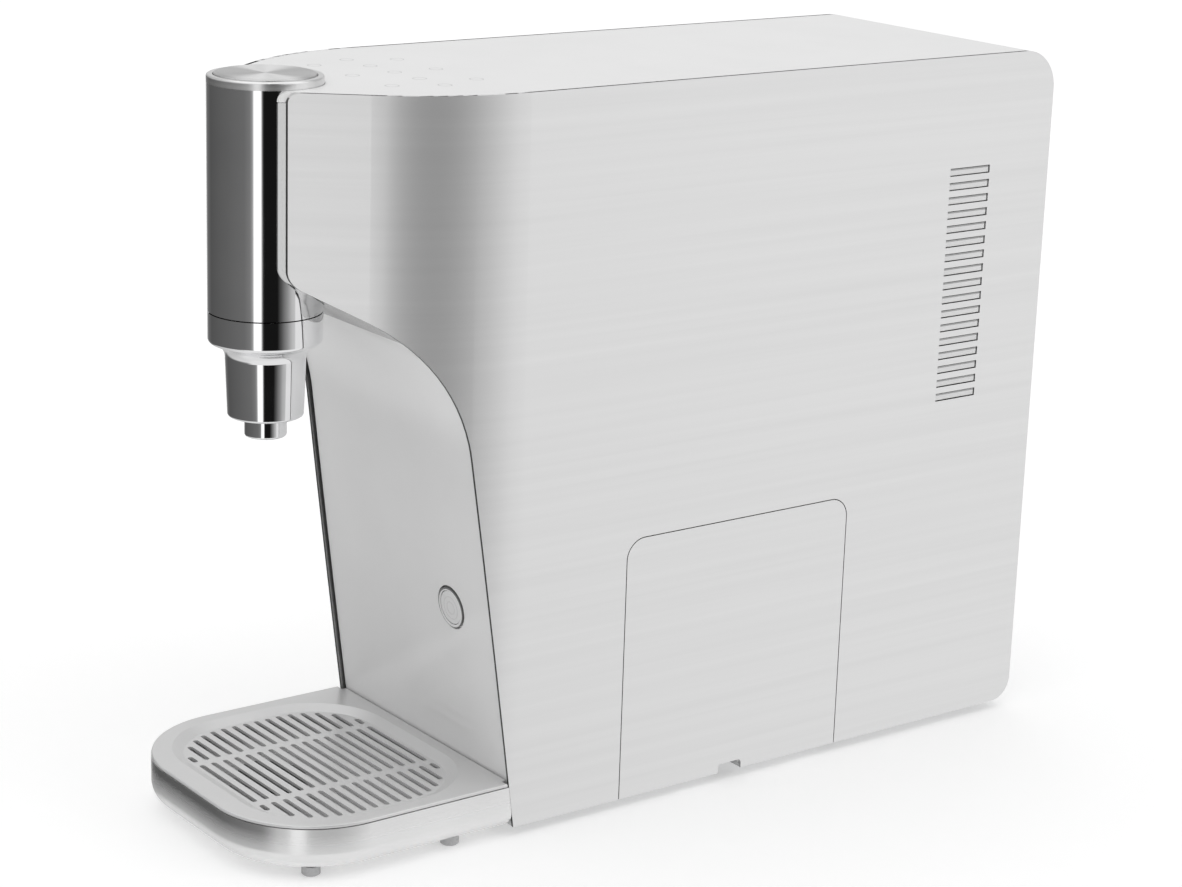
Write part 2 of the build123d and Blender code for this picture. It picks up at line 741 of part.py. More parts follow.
def filter_cartridge(y, z):
    """Cartridge with a shouldered neck and a grip bar, turned about X."""
    r = cartridge_radius
    body_length_x = cartridge_length
    points = [(0, -14), (cartridge_neck, -14), (cartridge_neck, 0), (r - 6, 0), (r, 7)]
    points += [(r, body_length_x - 3), (r - 3, body_length_x), (0, body_length_x)]
    body = turned(points, [0, 1.2, 0, 0, 0, 0, 0, 0])
    body -= Pos(0, 0, -7) * (Cylinder(cartridge_neck + 1, 2) - Cylinder(cartridge_neck - 1.2, 2))
    grip = Pos(0, 0, body_length_x + grip_depth / 2 - 0.1) * Box(10, 2 * r - 12, grip_depth)
    grip &= Pos(0, 0, body_length_x) * Cylinder(r - 6, 3 * grip_depth)
    return Pos(cartridge_back, y, z) * Rot(0, 90, 0) * (body + grip)


def filter_manifold():
    """Head block with a socket for each cartridge and two hose ports."""
    x0 = bay_back + bay_wall
    spread = cartridge_neck + 9
    y0 = door_mid - cartridge_pitch_y / 2 - spread
    y1 = door_mid + cartridge_pitch_y / 2 + spread
    z0 = bay_mid_z - cartridge_pitch_z / 2 - spread
    z1 = bay_mid_z + cartridge_pitch_z / 2 + spread
    block = box(x0, manifold_front, y0, y1, z0, z1)
    block = fillet(block.edges().filter_by(Axis.X), 8)
    for y, z in cartridge_places:
        block -= rod(cartridge_neck + fit, (manifold_front - 14, y, z), (1, 0, 0), 20)
        block -= rod(4, (x0 + 2, y, z), (1, 0, 0), 20)
    for z in manifold_ports:
        block -= rod(hose_bore, (x0 - 1, door_mid, z), (1, 0, 0), 8)
    return block


def filter_door():
    """Brushed skin flush with the side panel, with the finger notch in its bottom edge."""
    y0, y1 = door_mid - notch_length / 2, door_mid + notch_length / 2
    notch = box(half - 10, half + 1, y0, y1, base - 1, base + notch_height)
    notch = fillet(notch.edges().filter_by(Axis.X).sort_by(Axis.Z)[-2:], 2)
    return door_block(half - panel_sheet, half) - notch


def door_liner():
    """Plastic backing inside the bay's mouth, with ribs and pockets for the magnets."""
    gap = 0.6
    y0, y1 = bay_y0 + bay_wall + gap, bay_y1 - bay_wall - gap
    z0, z1 = bay_z0 + bay_wall + notch_height + 1, bay_z1 - bay_wall - gap
    backing = box(liner_x0, half - panel_sheet, y0, y1, z0, z1)
    backing = fillet(backing.edges().filter_by(Axis.X), 6)
    pocket = box(liner_x0 - 1, half - panel_sheet - 1.5, y0 + 12, y1 - 12, z0 + 8, z1 - 8)
    for i in range(1, 4):
        y = y0 + 12 + i * (y1 - y0 - 24) / 4
        pocket -= box(liner_x0 - 1, half, y - 0.8, y + 0.8, z0, z1)
    return backing - pocket


def magnet_places():
    return (bay_y0 + 6.5, bay_y1 - 6.5)


def door_magnets():
    return group(rod(3.8, (liner_x0 - 2.5, y, bay_mid_z), (1, 0, 0), 2.5) for y in magnet_places())


def door_catches():
    return group(rod(3.8, (catch_x0, y, bay_mid_z), (1, 0, 0), 1.5) for y in magnet_places())


# ---- cold side

compressor_x = -22
compressor_y = wall_y1 + 54
mount_height = 10
compressor_base = floor_top + mount_height


def compressor_feet():
    return [(compressor_x + sx * 44, compressor_y + sy * 38) for sx in (-1, 1) for sy in (-1, 1)]


def compressor():
    """Welded pot on a foot plate, with suction and discharge stubs."""
    pot = Cylinder(compressor_radius, compressor_height)
    pot = fillet(pot.edges(), 16)
    pot = Pos(compressor_x, compressor_y, compressor_base + 2 + compressor_height / 2) * pot
    x0, x1 = compressor_x - 52, compressor_x + 52
    foot = box(x0, x1, compressor_y - 46, compressor_y + 46, compressor_base, compressor_base + 2.5)
    foot = fillet(foot.edges().filter_by(Axis.Z), 8)
    weld = Pos(compressor_x, compressor_y, compressor_base + 60) * Cylinder(compressor_radius + 1.5, 4)
    cover = Pos(compressor_x + 35, compressor_y, compressor_base + 36) * Box(30, 24, 32)
    stub_z = compressor_base + compressor_height - 8
    stub = rod(4, (compressor_x - 12, compressor_y - 8, stub_z), (0, 0, 1), 14)
    body = pot + foot + weld + cover + stub
    for x, y in compressor_feet():
        body -= rod(5, (x, y, compressor_base - 1), (0, 0, 1), 5)
    return body


def compressor_mounts():
    """Rubber grommets with a waist that grips the foot plate."""
    points = [(2.2, 0), (9, 0), (9, mount_height), (4.7, mount_height), (4.7, mount_height + 3)]
    points += [(8, mount_height + 3), (8, mount_height + 6), (2.2, mount_height + 6)]
    grommet = turned(points)
    return group(Pos(x, y, floor_top) * grommet for x, y in compressor_feet())


fan_y0 = louvre_y0 + 4
fan_mid_z = deck_z1 + fan_size / 2


def fan_frame():
    """Square frame with a round duct, four struts and the motor cup with its bearing."""
    h = fan_size / 2
    frame = box(-h, h, fan_y0, fan_y0 + fan_depth, -h, h)
    frame = fillet(frame.edges().filter_by(Axis.Y), 5)
    frame -= rod(h - 2.5, (0, fan_y0 - 1, 0), (0, 1, 0), fan_depth + 2)
    y1 = fan_y0 + fan_depth
    for angle in (45, 135, 225, 315):
        strut = box(10, h, y1 - 4, y1, -2, 2)
        frame += Rot(0, angle, 0) * strut
        corner = ((h - 6) * 2 ** 0.5, fan_y0 - 1, 0)
        frame -= Rot(0, angle, 0) * rod(2.2, corner, (0, 1, 0), fan_depth + 2)
    frame += rod(19, (0, y1 - 4, 0), (0, 1, 0), 4)
    frame += rod(5, (0, y1 - 13, 0), (0, 1, 0), 10)
    frame -= rod(2 + fit, (0, y1 - 14, 0), (0, 1, 0), 12)
    return Pos(0, 0, fan_mid_z) * frame


def fan_rotor():
    """Hub on a shaft with pitched blades."""
    y1 = fan_y0 + fan_depth
    hub = rod(18.5, (0, fan_y0 + 1, 0), (0, 1, 0), fan_depth - 6)
    hub -= rod(16.5, (0, fan_y0 + 3, 0), (0, 1, 0), fan_depth)
    hub += rod(2, (0, fan_y0 + 2, 0), (0, 1, 0), fan_depth - 5)
    reach = fan_size / 2 - 2.5 - 1.5
    blades = []
    for i in range(fan_blades):
        blade = Pos(reach / 2 + 9, fan_y0 + 10, 0) * Rot(38, 0, 0) * Box(reach - 17, 1.8, 24)
        blade = blade & box(0, reach + 20, fan_y0 + 1.2, fan_y0 + fan_depth - 5.5, -30, 30)
        blades.append(Rot(0, i * 360 / fan_blades, 0) * blade)
    ring = pipe(reach, 17.5, (0, fan_y0, 0), (0, 1, 0), fan_depth)
    rotor = hub
    for blade in blades:
        rotor += blade & ring
    return Pos(0, 0, fan_mid_z) * rotor


condenser_y0 = fan_y0 + fan_depth + 2
condenser_depth = 20


def condenser():
    """Fin pack between two headers, with a port on each header."""
    x1 = 60
    z0, z1 = deck_z1, deck_z1 + 150
    pack = box(-x1, x1, condenser_y0, condenser_y0 + condenser_depth, z0, z0 + 5)
    pack += box(-x1, x1, condenser_y0, condenser_y0 + condenser_depth, z1 - 5, z1)
    count = 25
    for i in range(count):
        x = -x1 + 0.6 + i * (2 * x1 - 1.2) / (count - 1)
        pack += box(x - 0.6, x + 0.6, condenser_y0, condenser_y0 + condenser_depth, z0 + 4, z1 - 4)
    pack += rod(3, (-x1 + 12, condenser_y0 + 10, z1 - 1), (0, 0, 1), 9)
    return pack


tank_y = wall_y0 - rest_gap - (tank_radius + 2 * coil_tube + foam + 0.9)
foam_half = tank_radius + 2 * coil_tube + foam + 0.6
tank_z0 = shelf_z1 + foam + 3
foam_top = tank_z0 + tank_height + foam


def cold_tank():
    """Steel vessel with rounded ends and two pipe stubs."""
    vessel = fillet(Cylinder(tank_radius, tank_height).edges(), 14)
    vessel = Pos(0, 0, tank_z0 + tank_height / 2) * vessel
    for x in (-15, 15):
        vessel += rod(4, (x, 28, tank_z0 + tank_height - 3), (0, 0, 1), foam + 12)
    return Pos(0, tank_y, 0) * vessel


def tank_foam():
    """Foam block in two halves round the tank and its coil."""
    block = box(-foam_half, foam_half, -foam_half, foam_half, shelf_z1, foam_top)
    block = fillet(block.edges().filter_by(Axis.Z), 10)
    radius = tank_radius + 2 * coil_tube + 2 * rest_gap
    block -= rod(radius, (0, 0, tank_z0 - rest_gap), (0, 0, 1), tank_height + 2 * rest_gap)
    for x in (-15, 15):
        block -= rod(4 + rest_gap, (x, 28, tank_z0 + tank_height - 5), (0, 0, 1), 40)
    middle = (shelf_z1 + foam_top) / 2
    lower = block & box(-80, 80, -80, 80, shelf_z1, middle)
    upper = block & box(-80, 80, -80, 80, middle, foam_top)
    return group([Pos(0, tank_y, 0) * lower, Pos(0, tank_y, 0) * upper])


def evaporator_coil():
    """Copper coil as a stack of rings round the tank."""
    r = tank_radius + rest_gap + coil_tube
    z0 = tank_z0 + 25
    pitch = (tank_height - 50) / (coil_turns - 1)
    return group(Pos(0, tank_y, z0 + i * pitch) * Torus(r, coil_tube) for i in range(coil_turns))


# ---- water and electrics

heater_y0 = web_y1 - 52


def heater_module():
    """Instant heater in its casing, with an inlet and an outlet port."""
    body = box(6, 44, heater_y0, heater_y0 + 40, shelf_z1, shelf_z1 + 120)
    body = fillet(body.edges().filter_by(Axis.Z), 5)
    for x in (15, 35):
        body += rod(4, (x, heater_y0 + 20, shelf_z1 + 119), (0, 0, 1), 9)
    return body


def power_supply():
    """Finned metal box."""
    body = box(-44, -6, heater_y0 - 6, heater_y0 + 44, shelf_z1, shelf_z1 + 68)
    for i in range(9):
        y = heater_y0 - 2 + i * 5
        body -= box(-45, -5, y, y + 2, shelf_z1 + 58, shelf_z1 + 69)
    return body


board_z = foam_top + 7


def board_tray():
    """Plastic tray on the foam with posts for the main board."""
    y0 = tank_y - foam_half + 4
    tray = box(-54, 54, y0, y0 + 76, foam_top, foam_top + 2)
    for x in (-48, 48):
        for y in (y0 + 6, y0 + 70):
            tray += rod(3, (x, y, foam_top + 1.9), (0, 0, 1), board_z - foam_top - 1.9)
    return tray


def main_board():
    """Circuit board with its heat sink, relay, capacitors and connectors."""
    y0 = tank_y - foam_half + 6
    board = box(-52, 52, y0, y0 + 72, board_z, board_z + 1.6)
    z = board_z + 1.5
    board += box(-44, -20, y0 + 10, y0 + 34, z, z + 14)
    board += box(-10, 6, y0 + 8, y0 + 20, z, z + 12)
    for i in range(4):
        board += rod(4, (18 + i * 9, y0 + 18, z), (0, 0, 1), 13)
    for i in range(3):
        board += box(-40 + i * 28, -22 + i * 28, y0 + 60, y0 + 66, z, z + 8)
    return board


def touch_board_corners():
    return [(x, y) for x in (-30, 30) for y in (front + 58, front + 122)]


def touch_board():
    """Slim board of touch pads under the top cover."""
    y0, y1 = front + 54, front + 126
    board = box(-34, 34, y0, y1, touch_board_z, touch_board_z + 1.6)
    for i in range(5):
        board += rod(4, (-22 + i * 11, front + 75, touch_board_z + 1.5), (0, 0, 1), 1)
    return board


rail_z = hose_port_z - 13


def valve_rail():
    """Shelf between the head webs that carries the outlet valves."""
    x1 = web_x0
    y0 = web_y0 + 12
    rail = box(-x1, x1, y0, y0 + 50, rail_z - 2, rail_z)
    for x in (-x1 + 1, x1 - 1):
        rail += box(x - 1, x + 1, y0, y0 + 50, rail_z - 2, rail_z + 8)
    return rail


def outlet_valves():
    """Three solenoid valves, each a body with a coil and a front port."""
    y0 = web_y0 + 18
    valves = []
    for x in (-28, 0, 28):
        body = box(x - 9, x + 9, y0, y0 + 36, rail_z, rail_z + 20)
        body = fillet(body.edges().filter_by(Axis.Z), 3)
        body += rod(9, (x, y0 + 20, rail_z + 19.9), (0, 0, 1), 22)
        body += rod(4.5, (x, y0 - 6, hose_port_z), (0, 1, 0), 7)
        body -= rod(hose_bore, (x, y0 - 7, hose_port_z), (0, 1, 0), 14)
        valves.append(body)
    return group(valves)


hose_x = -inside + 8


def inner_hoses():
    """Inlet valve to filters, filters to tank, tank to its valve, and middle valve to tower."""
    low, high = manifold_ports
    port_x = bay_back + bay_wall - rest_gap
    valve_z = floor_top + 14
    stub_y = tank_y + 28
    stub_z = foam_top + 9 + rest_gap
    valve_y = web_y0 + 18 + 36 + rest_gap
    supply = [(port_x, door_mid, low), (hose_x, door_mid, low), (hose_x, inlet_y, low)]
    supply += [(hose_x, inlet_y, valve_z), (-60 - rest_gap, inlet_y, valve_z)]
    rise = [(port_x, door_mid, high), (hose_x, door_mid, high), (hose_x, door_mid, stub_z + 13)]
    rise += [(hose_x, stub_y, stub_z + 13), (-15, stub_y, stub_z + 13), (-15, stub_y, stub_z)]
    cold = [(15, stub_y, stub_z), (15, stub_y, stub_z + 21), (28, valve_y + 18, stub_z + 21)]
    cold += [(28, valve_y + 18, hose_port_z), (28, valve_y, hose_port_z)]
    outlet = [(0, tower_y + 20 + rest_gap, hose_port_z), (0, web_y0 + 12 - rest_gap, hose_port_z)]
    return group([hose(supply, 5.5), hose(rise, 5.5), hose(cold, 9), hose(outlet)])


def water_fitting(x, z):
    """Push-fit connector through the pocket's floor."""
    mouth = back - 4
    body = rod(6, (x, pocket_floor - 14, z), (0, 1, 0), 15)
    body += rod(8, (x, pocket_floor + rest_gap, z), (0, 1, 0), mouth - pocket_floor - rest_gap)
    body += rod(8, (x, pocket_floor - 2 - rest_gap - 5, z), (0, 1, 0), 5)
    body -= rod(hose_radius, (x, mouth - 15, z), (0, 1, 0), 20)
    body -= rod(hose_bore, (x, pocket_floor - 20, z), (0, 1, 0), 60)
    return body


def power_gland():
    """Strain relief with a collar outside and a nut inside the rear panel."""
    gland = rod(7, (gland_x, back - wall - 9, gland_z), (0, 1, 0), 9 + wall - 0.3)
    gland += rod(10, (gland_x, back - wall - rest_gap - 3, gland_z), (0, 1, 0), 3)
    return gland - rod(3.6, (gland_x, back - 20, gland_z), (0, 1, 0), 30)


inlet_y = bay_y0 - 34


def inlet_valve():
    """Solenoid valve on the floor ahead of the filters."""
    body = box(-60, -28, inlet_y - 10, inlet_y + 10, floor_top, floor_top + 24)
    body += rod(10, (-44, inlet_y, floor_top + 23.9), (0, 0, 1), 26)
    body += rod(4.5, (-28.1, inlet_y, floor_top + 14), (1, 0, 0), 8)
    return body


def flow_sensor():
    """Turbine meter in line with the inlet valve."""
    x0 = -28.1 + 8 + rest_gap
    z = floor_top + 14
    body = rod(4.5, (x0, inlet_y, z), (1, 0, 0), 8)
    body += rod(13, (x0 + 20, inlet_y - 9, z), (0, 1, 0), 18)
    body += rod(4.5, (x0 + 31, inlet_y, z), (1, 0, 0), 9)
    return body + box(x0 + 12, x0 + 28, inlet_y - 8, inlet_y + 8, floor_top, floor_top + 4)


def filter_drier():
    """Copper drier in the suction side, clipped to the partition."""
    y = wall_y1 + rest_gap + 9
    body = rod(9, (62, y, floor_top + 40), (0, 0, 1), 60)
    body = fillet(body.edges(), 4)
    body += rod(3, (62, y, floor_top + 30), (0, 0, 1), 12)
    return body + rod(3, (62, y, floor_top + 98), (0, 0, 1), 12)


# ---- write every node

def write_casing():
    write("side_panel_right", side_panel(1))
    write("side_panel_left", side_panel(-1))
    write("louvre_inserts", group([louvre_insert(1), louvre_insert(-1)]))
    write("top_cover", top_cover())
    write("nose_moulding", nose_moulding())
    write("alcove_panel", alcove_panel())
    write("rear_panel", rear_panel())
    write("base_pan", base_pan())
    write("chassis_frame", chassis_frame())
    write("body_feet", group(feet([(s * 55, y) for s in (-1, 1) for y in (foot_y + 35, back - 33)], 8)))
    rear = [pan_screw((x, back - 2.3, z), (0, -1, 0)) for x, z in rear_screw_places]
    write("rear_screws", group(rear))
    write("base_screws", group(pan_screw((x, y, base), (0, 0, 1), length=12) for x, y in base_screw_places))


def write_tower():
    write("tower_shell", tower_shell())
    write("spout_cover", spout_cover())
    write("tower_core", tower_core())
    write("nozzle_tip", nozzle_tip())
    write("tower_top_ring", tower_top_ring())
    write("dispense_disc", dispense_disc())
    write("disc_spring", disc_spring())
    write("disc_switch", disc_switch())
    write("tower_bracket", tower_bracket())
    write("round_button", round_button())
    write("button_bezel", button_bezel())
    write("button_switch", button_switch())


def write_tray():
    write("tray_body", tray_body())
    write("drip_basin", drip_basin())
    write("drip_grille", drip_grille())
    write("tray_feet", group(feet(tray_foot_places(), tray_foot_radius)))


def write_filters():
    write("filter_bay", filter_bay())
    write("filter_manifold", filter_manifold())
    for number, (y, z) in enumerate(cartridge_places, 1):
        write(f"filter_cartridge_{number}", filter_cartridge(y, z))
    write("filter_door", filter_door())
    write("door_liner", door_liner())
    write("door_magnets", door_magnets())
    write("door_catches", door_catches())


def write_cold_side():
    write("compressor", compressor())
    write("compressor_mounts", compressor_mounts())
    write("fan_frame", fan_frame())
    write("fan_rotor", fan_rotor())
    write("condenser", condenser())
    write("cold_tank", cold_tank())
    write("tank_foam", tank_foam())
    write("evaporator_coil", evaporator_coil())
    write("filter_drier", filter_drier())


def write_water_and_power():
    write("heater_module", heater_module())
    write("power_supply", power_supply())
    write("board_tray", board_tray())
    write("main_board", main_board())
    write("touch_board", touch_board())
    write("valve_rail", valve_rail())
    write("outlet_valves", outlet_valves())
    write("inner_hoses", inner_hoses())
    write("water_fittings", group(water_fitting(x, z) for x, z in fitting_places))
    write("power_gland", power_gland())
    write("inlet_valve", inlet_valve())
    write("flow_sensor", flow_sensor())


write_casing()
write_tower()
write_tray()
write_filters()
write_cold_side()
write_water_and_power()
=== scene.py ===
import math

import bmesh
import bpy
from mathutils import Matrix, Vector


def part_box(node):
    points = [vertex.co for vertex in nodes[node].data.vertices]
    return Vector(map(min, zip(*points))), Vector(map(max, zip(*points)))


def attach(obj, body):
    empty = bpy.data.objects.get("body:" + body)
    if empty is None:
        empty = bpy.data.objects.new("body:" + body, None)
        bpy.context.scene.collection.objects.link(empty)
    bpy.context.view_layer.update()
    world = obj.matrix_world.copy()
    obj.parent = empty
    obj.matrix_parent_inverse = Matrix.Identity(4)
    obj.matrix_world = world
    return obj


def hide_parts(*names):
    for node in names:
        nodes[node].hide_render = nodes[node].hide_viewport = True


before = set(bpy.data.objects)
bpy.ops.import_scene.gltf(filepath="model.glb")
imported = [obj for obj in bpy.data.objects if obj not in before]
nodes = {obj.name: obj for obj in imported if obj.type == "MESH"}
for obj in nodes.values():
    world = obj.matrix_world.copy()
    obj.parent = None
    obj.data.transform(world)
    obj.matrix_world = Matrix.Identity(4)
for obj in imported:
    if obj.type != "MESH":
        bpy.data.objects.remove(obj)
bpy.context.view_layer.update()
scene = bpy.context.scene
print("frame loaded:", len(nodes), "nodes")

cameraView = {
    "place": (1.1839, -0.8918, 0.5985),
    "azimuth": 53.061,                 # degrees round from the front, towards the right side
    "elevation": 15.954,
    "roll": 1.836,
    "lens": 86.70,
    "sensor": 36.0,
}


def aimCamera(view):
    data = bpy.data.cameras.new("camera")
    data.lens = view["lens"]
    data.sensor_width = view["sensor"]
    data.clip_start = 0.05
    data.clip_end = 200
    camera = bpy.data.objects.new("camera", data)
    scene.collection.objects.link(camera)
    azimuth, elevation, roll = (math.radians(view[k]) for k in ("azimuth", "elevation", "roll"))
    back = Vector((math.sin(azimuth) * math.cos(elevation),
                   -math.cos(azimuth) * math.cos(elevation), math.sin(elevation)))
    right = (-back).cross(Vector((0, 0, 1))).normalized()
    up = right.cross(-back)
    sideways = math.cos(roll) * right + math.sin(roll) * up
    upright = -math.sin(roll) * right + math.cos(roll) * up
    turn = Matrix((sideways, upright, back)).transposed().to_4x4()
    camera.matrix_world = Matrix.Translation(view["place"]) @ turn
    scene.camera = camera


aimCamera(cameraView)
print("camera aimed")

studio = {
    "backdrop": 1.0,                   # what the eye sees past the floor
    "strength": 1.0,
    "ceiling": (1.3, 1.3, 1.3),
    "ceilingFrom": 38.0,               # degrees above the horizon
    "ceilingTo": 60.0,
    "floorGlow": (0.80, 0.80, 0.80),
    "floorFrom": -48.0,
    "floorTo": -66.0,
    "bandLow": (-34.0, -24.0),         # where the dark horizon band fades in and out, degrees
    "bandHigh": (0.0, 12.0),
    "sweep": (.86, .86, .86),          # bright paper on the floor, to the right of the nose
    "sweepFrom": -20.5,
    "sweepTo": -25.0,
    "sweepTurn": (2.0, 26.0),
    # azimuth in degrees from the front, brightness seen there
    "band": [(-180, .20), (-160, .28), (-142, .52), (-106, .52), (-96, .16), (-74, .09),
             (-20, .12), (18, .15), (30, .20), (35, .34), (38, 1.2), (51, 1.2), (54, .10),
             (57, .008), (84, .008), (92, .09), (104, .28), (116, .55), (124, .80), (148, .80),
             (160, .40), (180, .20)],
    "wide": [(-180, .50), (-152, .58), (-140, .72), (-112, .72), (-100, .55), (-70, .58),
             (0, .75), (30, .85), (40, .95), (50, .90), (58, .58), (66, .14), (72, .02),
             (84, .005), (91, .15), (100, .53), (112, .92), (125, 1.25), (148, 1.25),
             (160, .80), (180, .50)],
}


def azimuthRamp(tree, stops, azimuth, label):
    ramp = tree.nodes.new("ShaderNodeValToRGB")
    ramp.label = label
    elements = ramp.color_ramp.elements
    while len(elements) > 1:
        elements.remove(elements[-1])
    for k, (degrees, level) in enumerate(stops):
        place = (degrees + 180) / 360
        spot = elements[0] if k == 0 else elements.new(place)
        spot.position = place
        spot.color = (level, level, level, 1)
    tree.links.new(azimuth, ramp.inputs["Fac"])
    return ramp.outputs["Color"]


def fadeBetween(tree, value, start, end):
    fade = tree.nodes.new("ShaderNodeMapRange")
    fade.interpolation_type = "SMOOTHSTEP"
    fade.inputs["From Min"].default_value = min(start, end)
    fade.inputs["From Max"].default_value = max(start, end)
    fade.inputs["To Min"].default_value = 0.0 if start < end else 1.0
    fade.inputs["To Max"].default_value = 1.0 if start < end else 0.0
    tree.links.new(value, fade.inputs["Value"])
    return fade.outputs["Result"]


def mixColours(tree, factor, first, second):
    mix = tree.nodes.new("ShaderNodeMix")
    mix.data_type = "RGBA"
    tree.links.new(factor, mix.inputs["Factor"])
    for value, socket in ((first, mix.inputs[6]), (second, mix.inputs[7])):
        if isinstance(value, tuple):
            socket.default_value = (*value, 1)
        else:
            tree.links.new(value, socket)
    return mix.outputs[2]


def mathStep(tree, operation, first, second=None, kind="ShaderNodeMath"):
    step = tree.nodes.new(kind)
    step.operation = operation
    for k, value in enumerate((first, second)):
        if isinstance(value, (int, float)):
            step.inputs[k].default_value = value
        elif value is not None:
            tree.links.new(value, step.inputs[k])
    return step.outputs[0]


def lightStudio(values):
    world = bpy.data.worlds.new("studio")
    scene.world = world
    world.use_nodes = True
    tree = world.node_tree
    tree.nodes.clear()
    output = tree.nodes.new("ShaderNodeOutputWorld")
    place = tree.nodes.new("ShaderNodeTexCoord")
    split = tree.nodes.new("ShaderNodeSeparateXYZ")
    tree.links.new(place.outputs["Generated"], split.inputs[0])
    x, y, z = split.outputs
    turn = mathStep(tree, "ARCTAN2", x, mathStep(tree, "MULTIPLY", y, -1.0))
    azimuth = mathStep(tree, "ADD", mathStep(tree, "DIVIDE", turn, 2 * math.pi), 0.5)
    elevation = mathStep(tree, "DEGREES", mathStep(tree, "ARCSINE", z))
    band = azimuthRamp(tree, values["band"], azimuth, "horizon band")
    wide = azimuthRamp(tree, values["wide"], azimuth, "walls")
    low = fadeBetween(tree, elevation, *values["bandLow"])
    high = fadeBetween(tree, elevation, values["bandHigh"][1], values["bandHigh"][0])
    colour = mixColours(tree, mathStep(tree, "MULTIPLY", low, high), wide, band)
    below = fadeBetween(tree, elevation, values["sweepFrom"], values["sweepTo"])
    start, end = ((degrees + 180) / 360 for degrees in values["sweepTurn"])
    beside = fadeBetween(tree, azimuth, start, end)
    colour = mixColours(tree, mathStep(tree, "MULTIPLY", below, beside), colour, values["sweep"])
    top = fadeBetween(tree, elevation, values["ceilingFrom"], values["ceilingTo"])
    colour = mixColours(tree, top, colour, values["ceiling"])
    under = fadeBetween(tree, elevation, values["floorFrom"], values["floorTo"])
    colour = mixColours(tree, under, colour, values["floorGlow"])
    glow = tree.nodes.new("ShaderNodeBackground")
    glow.inputs["Strength"].default_value = values["strength"]
    tree.links.new(colour, glow.inputs["Color"])
    seen = tree.nodes.new("ShaderNodeBackground")
    seen.inputs["Color"].default_value = (values["backdrop"],) * 3 + (1,)
    path = tree.nodes.new("ShaderNodeLightPath")
    choose = tree.nodes.new("ShaderNodeMixShader")
    tree.links.new(path.outputs["Is Camera Ray"], choose.inputs[0])
    tree.links.new(glow.outputs[0], choose.inputs[1])
    tree.links.new(seen.outputs[0], choose.inputs[2])
    tree.links.new(choose.outputs[0], output.inputs["Surface"])
    scene.view_settings.view_transform = "Standard"


lightStudio(studio)
print("studio lit")


def plainFinish(name, colour, **sockets):
    material = bpy.data.materials.new(name)
    material.use_nodes = True
    shader = material.node_tree.nodes["Principled BSDF"]
    shader.inputs["Base Color"].default_value = (*colour, 1)
    for key, value in sockets.items():
        shader.inputs[key.replace("_", " ")].default_value = value
    return material


def shaderOf(material):
    return material.node_tree.nodes["Principled BSDF"]


def patternOn(material, scale, stretch=(1, 1, 1), detail=4.0, kind="noise", shift=(0, 0, 0)):
    tree = material.node_tree
    place = tree.nodes.new("ShaderNodeTexCoord")
    mapping = tree.nodes.new("ShaderNodeMapping")
    mapping.inputs["Scale"].default_value = stretch
    mapping.inputs["Location"].default_value = shift
    tree.links.new(place.outputs["Object"], mapping.inputs["Vector"])
    if kind == "noise":
        pattern = tree.nodes.new("ShaderNodeTexNoise")
        pattern.inputs["Detail"].default_value = detail
        out = pattern.outputs["Fac"]
    else:
        pattern = tree.nodes.new("ShaderNodeTexVoronoi")
        out = pattern.outputs["Color" if kind == "spangle" else "Distance"]
    pattern.inputs["Scale"].default_value = scale
    tree.links.new(mapping.outputs["Vector"], pattern.inputs["Vector"])
    return out


def reachOf(material, value, low, high, start=0.3, end=0.7):
    tree = material.node_tree
    reach = tree.nodes.new("ShaderNodeMapRange")
    reach.inputs["From Min"].default_value = start
    reach.inputs["From Max"].default_value = end
    reach.inputs["To Min"].default_value = low
    reach.inputs["To Max"].default_value = high
    tree.links.new(value, reach.inputs["Value"])
    return reach.outputs["Result"]


def spread(material, value, low, high, socket="Roughness", start=0.3, end=0.7):
    result = reachOf(material, value, low, high, start, end)
    material.node_tree.links.new(result, shaderOf(material).inputs[socket])


def tintOf(material, value, dark, light, start=0.3, end=0.7):
    tree = material.node_tree
    ramp = tree.nodes.new("ShaderNodeValToRGB")
    ramp.color_ramp.elements[0].position = start
    ramp.color_ramp.elements[1].position = end
    ramp.color_ramp.elements[0].color = (*dark, 1)
    ramp.color_ramp.elements[1].color = (*light, 1)
    tree.links.new(value, ramp.inputs["Fac"])
    return ramp.outputs["Color"]


def tint(material, value, dark, light, start=0.3, end=0.7):
    colour = tintOf(material, value, dark, light, start, end)
    material.node_tree.links.new(colour, shaderOf(material).inputs["Base Color"])


def relief(material, value, height, strength=1.0):
    tree = material.node_tree
    bump = tree.nodes.new("ShaderNodeBump")
    bump.inputs["Distance"].default_value = height
    bump.inputs["Strength"].default_value = strength
    tree.links.new(value, bump.inputs["Height"])
    tree.links.new(bump.outputs["Normal"], shaderOf(material).inputs["Normal"])


def grainLevel(material):
    # the grain runs level round the sheet, so light spreads up and down
    tree = material.node_tree
    shape = tree.nodes.new("ShaderNodeNewGeometry")
    cross = tree.nodes.new("ShaderNodeVectorMath")
    cross.operation = "CROSS_PRODUCT"
    cross.inputs[1].default_value = (0, 0, 1)
    tree.links.new(shape.outputs["Normal"], cross.inputs[0])
    tree.links.new(cross.outputs["Vector"], shaderOf(material).inputs["Tangent"])


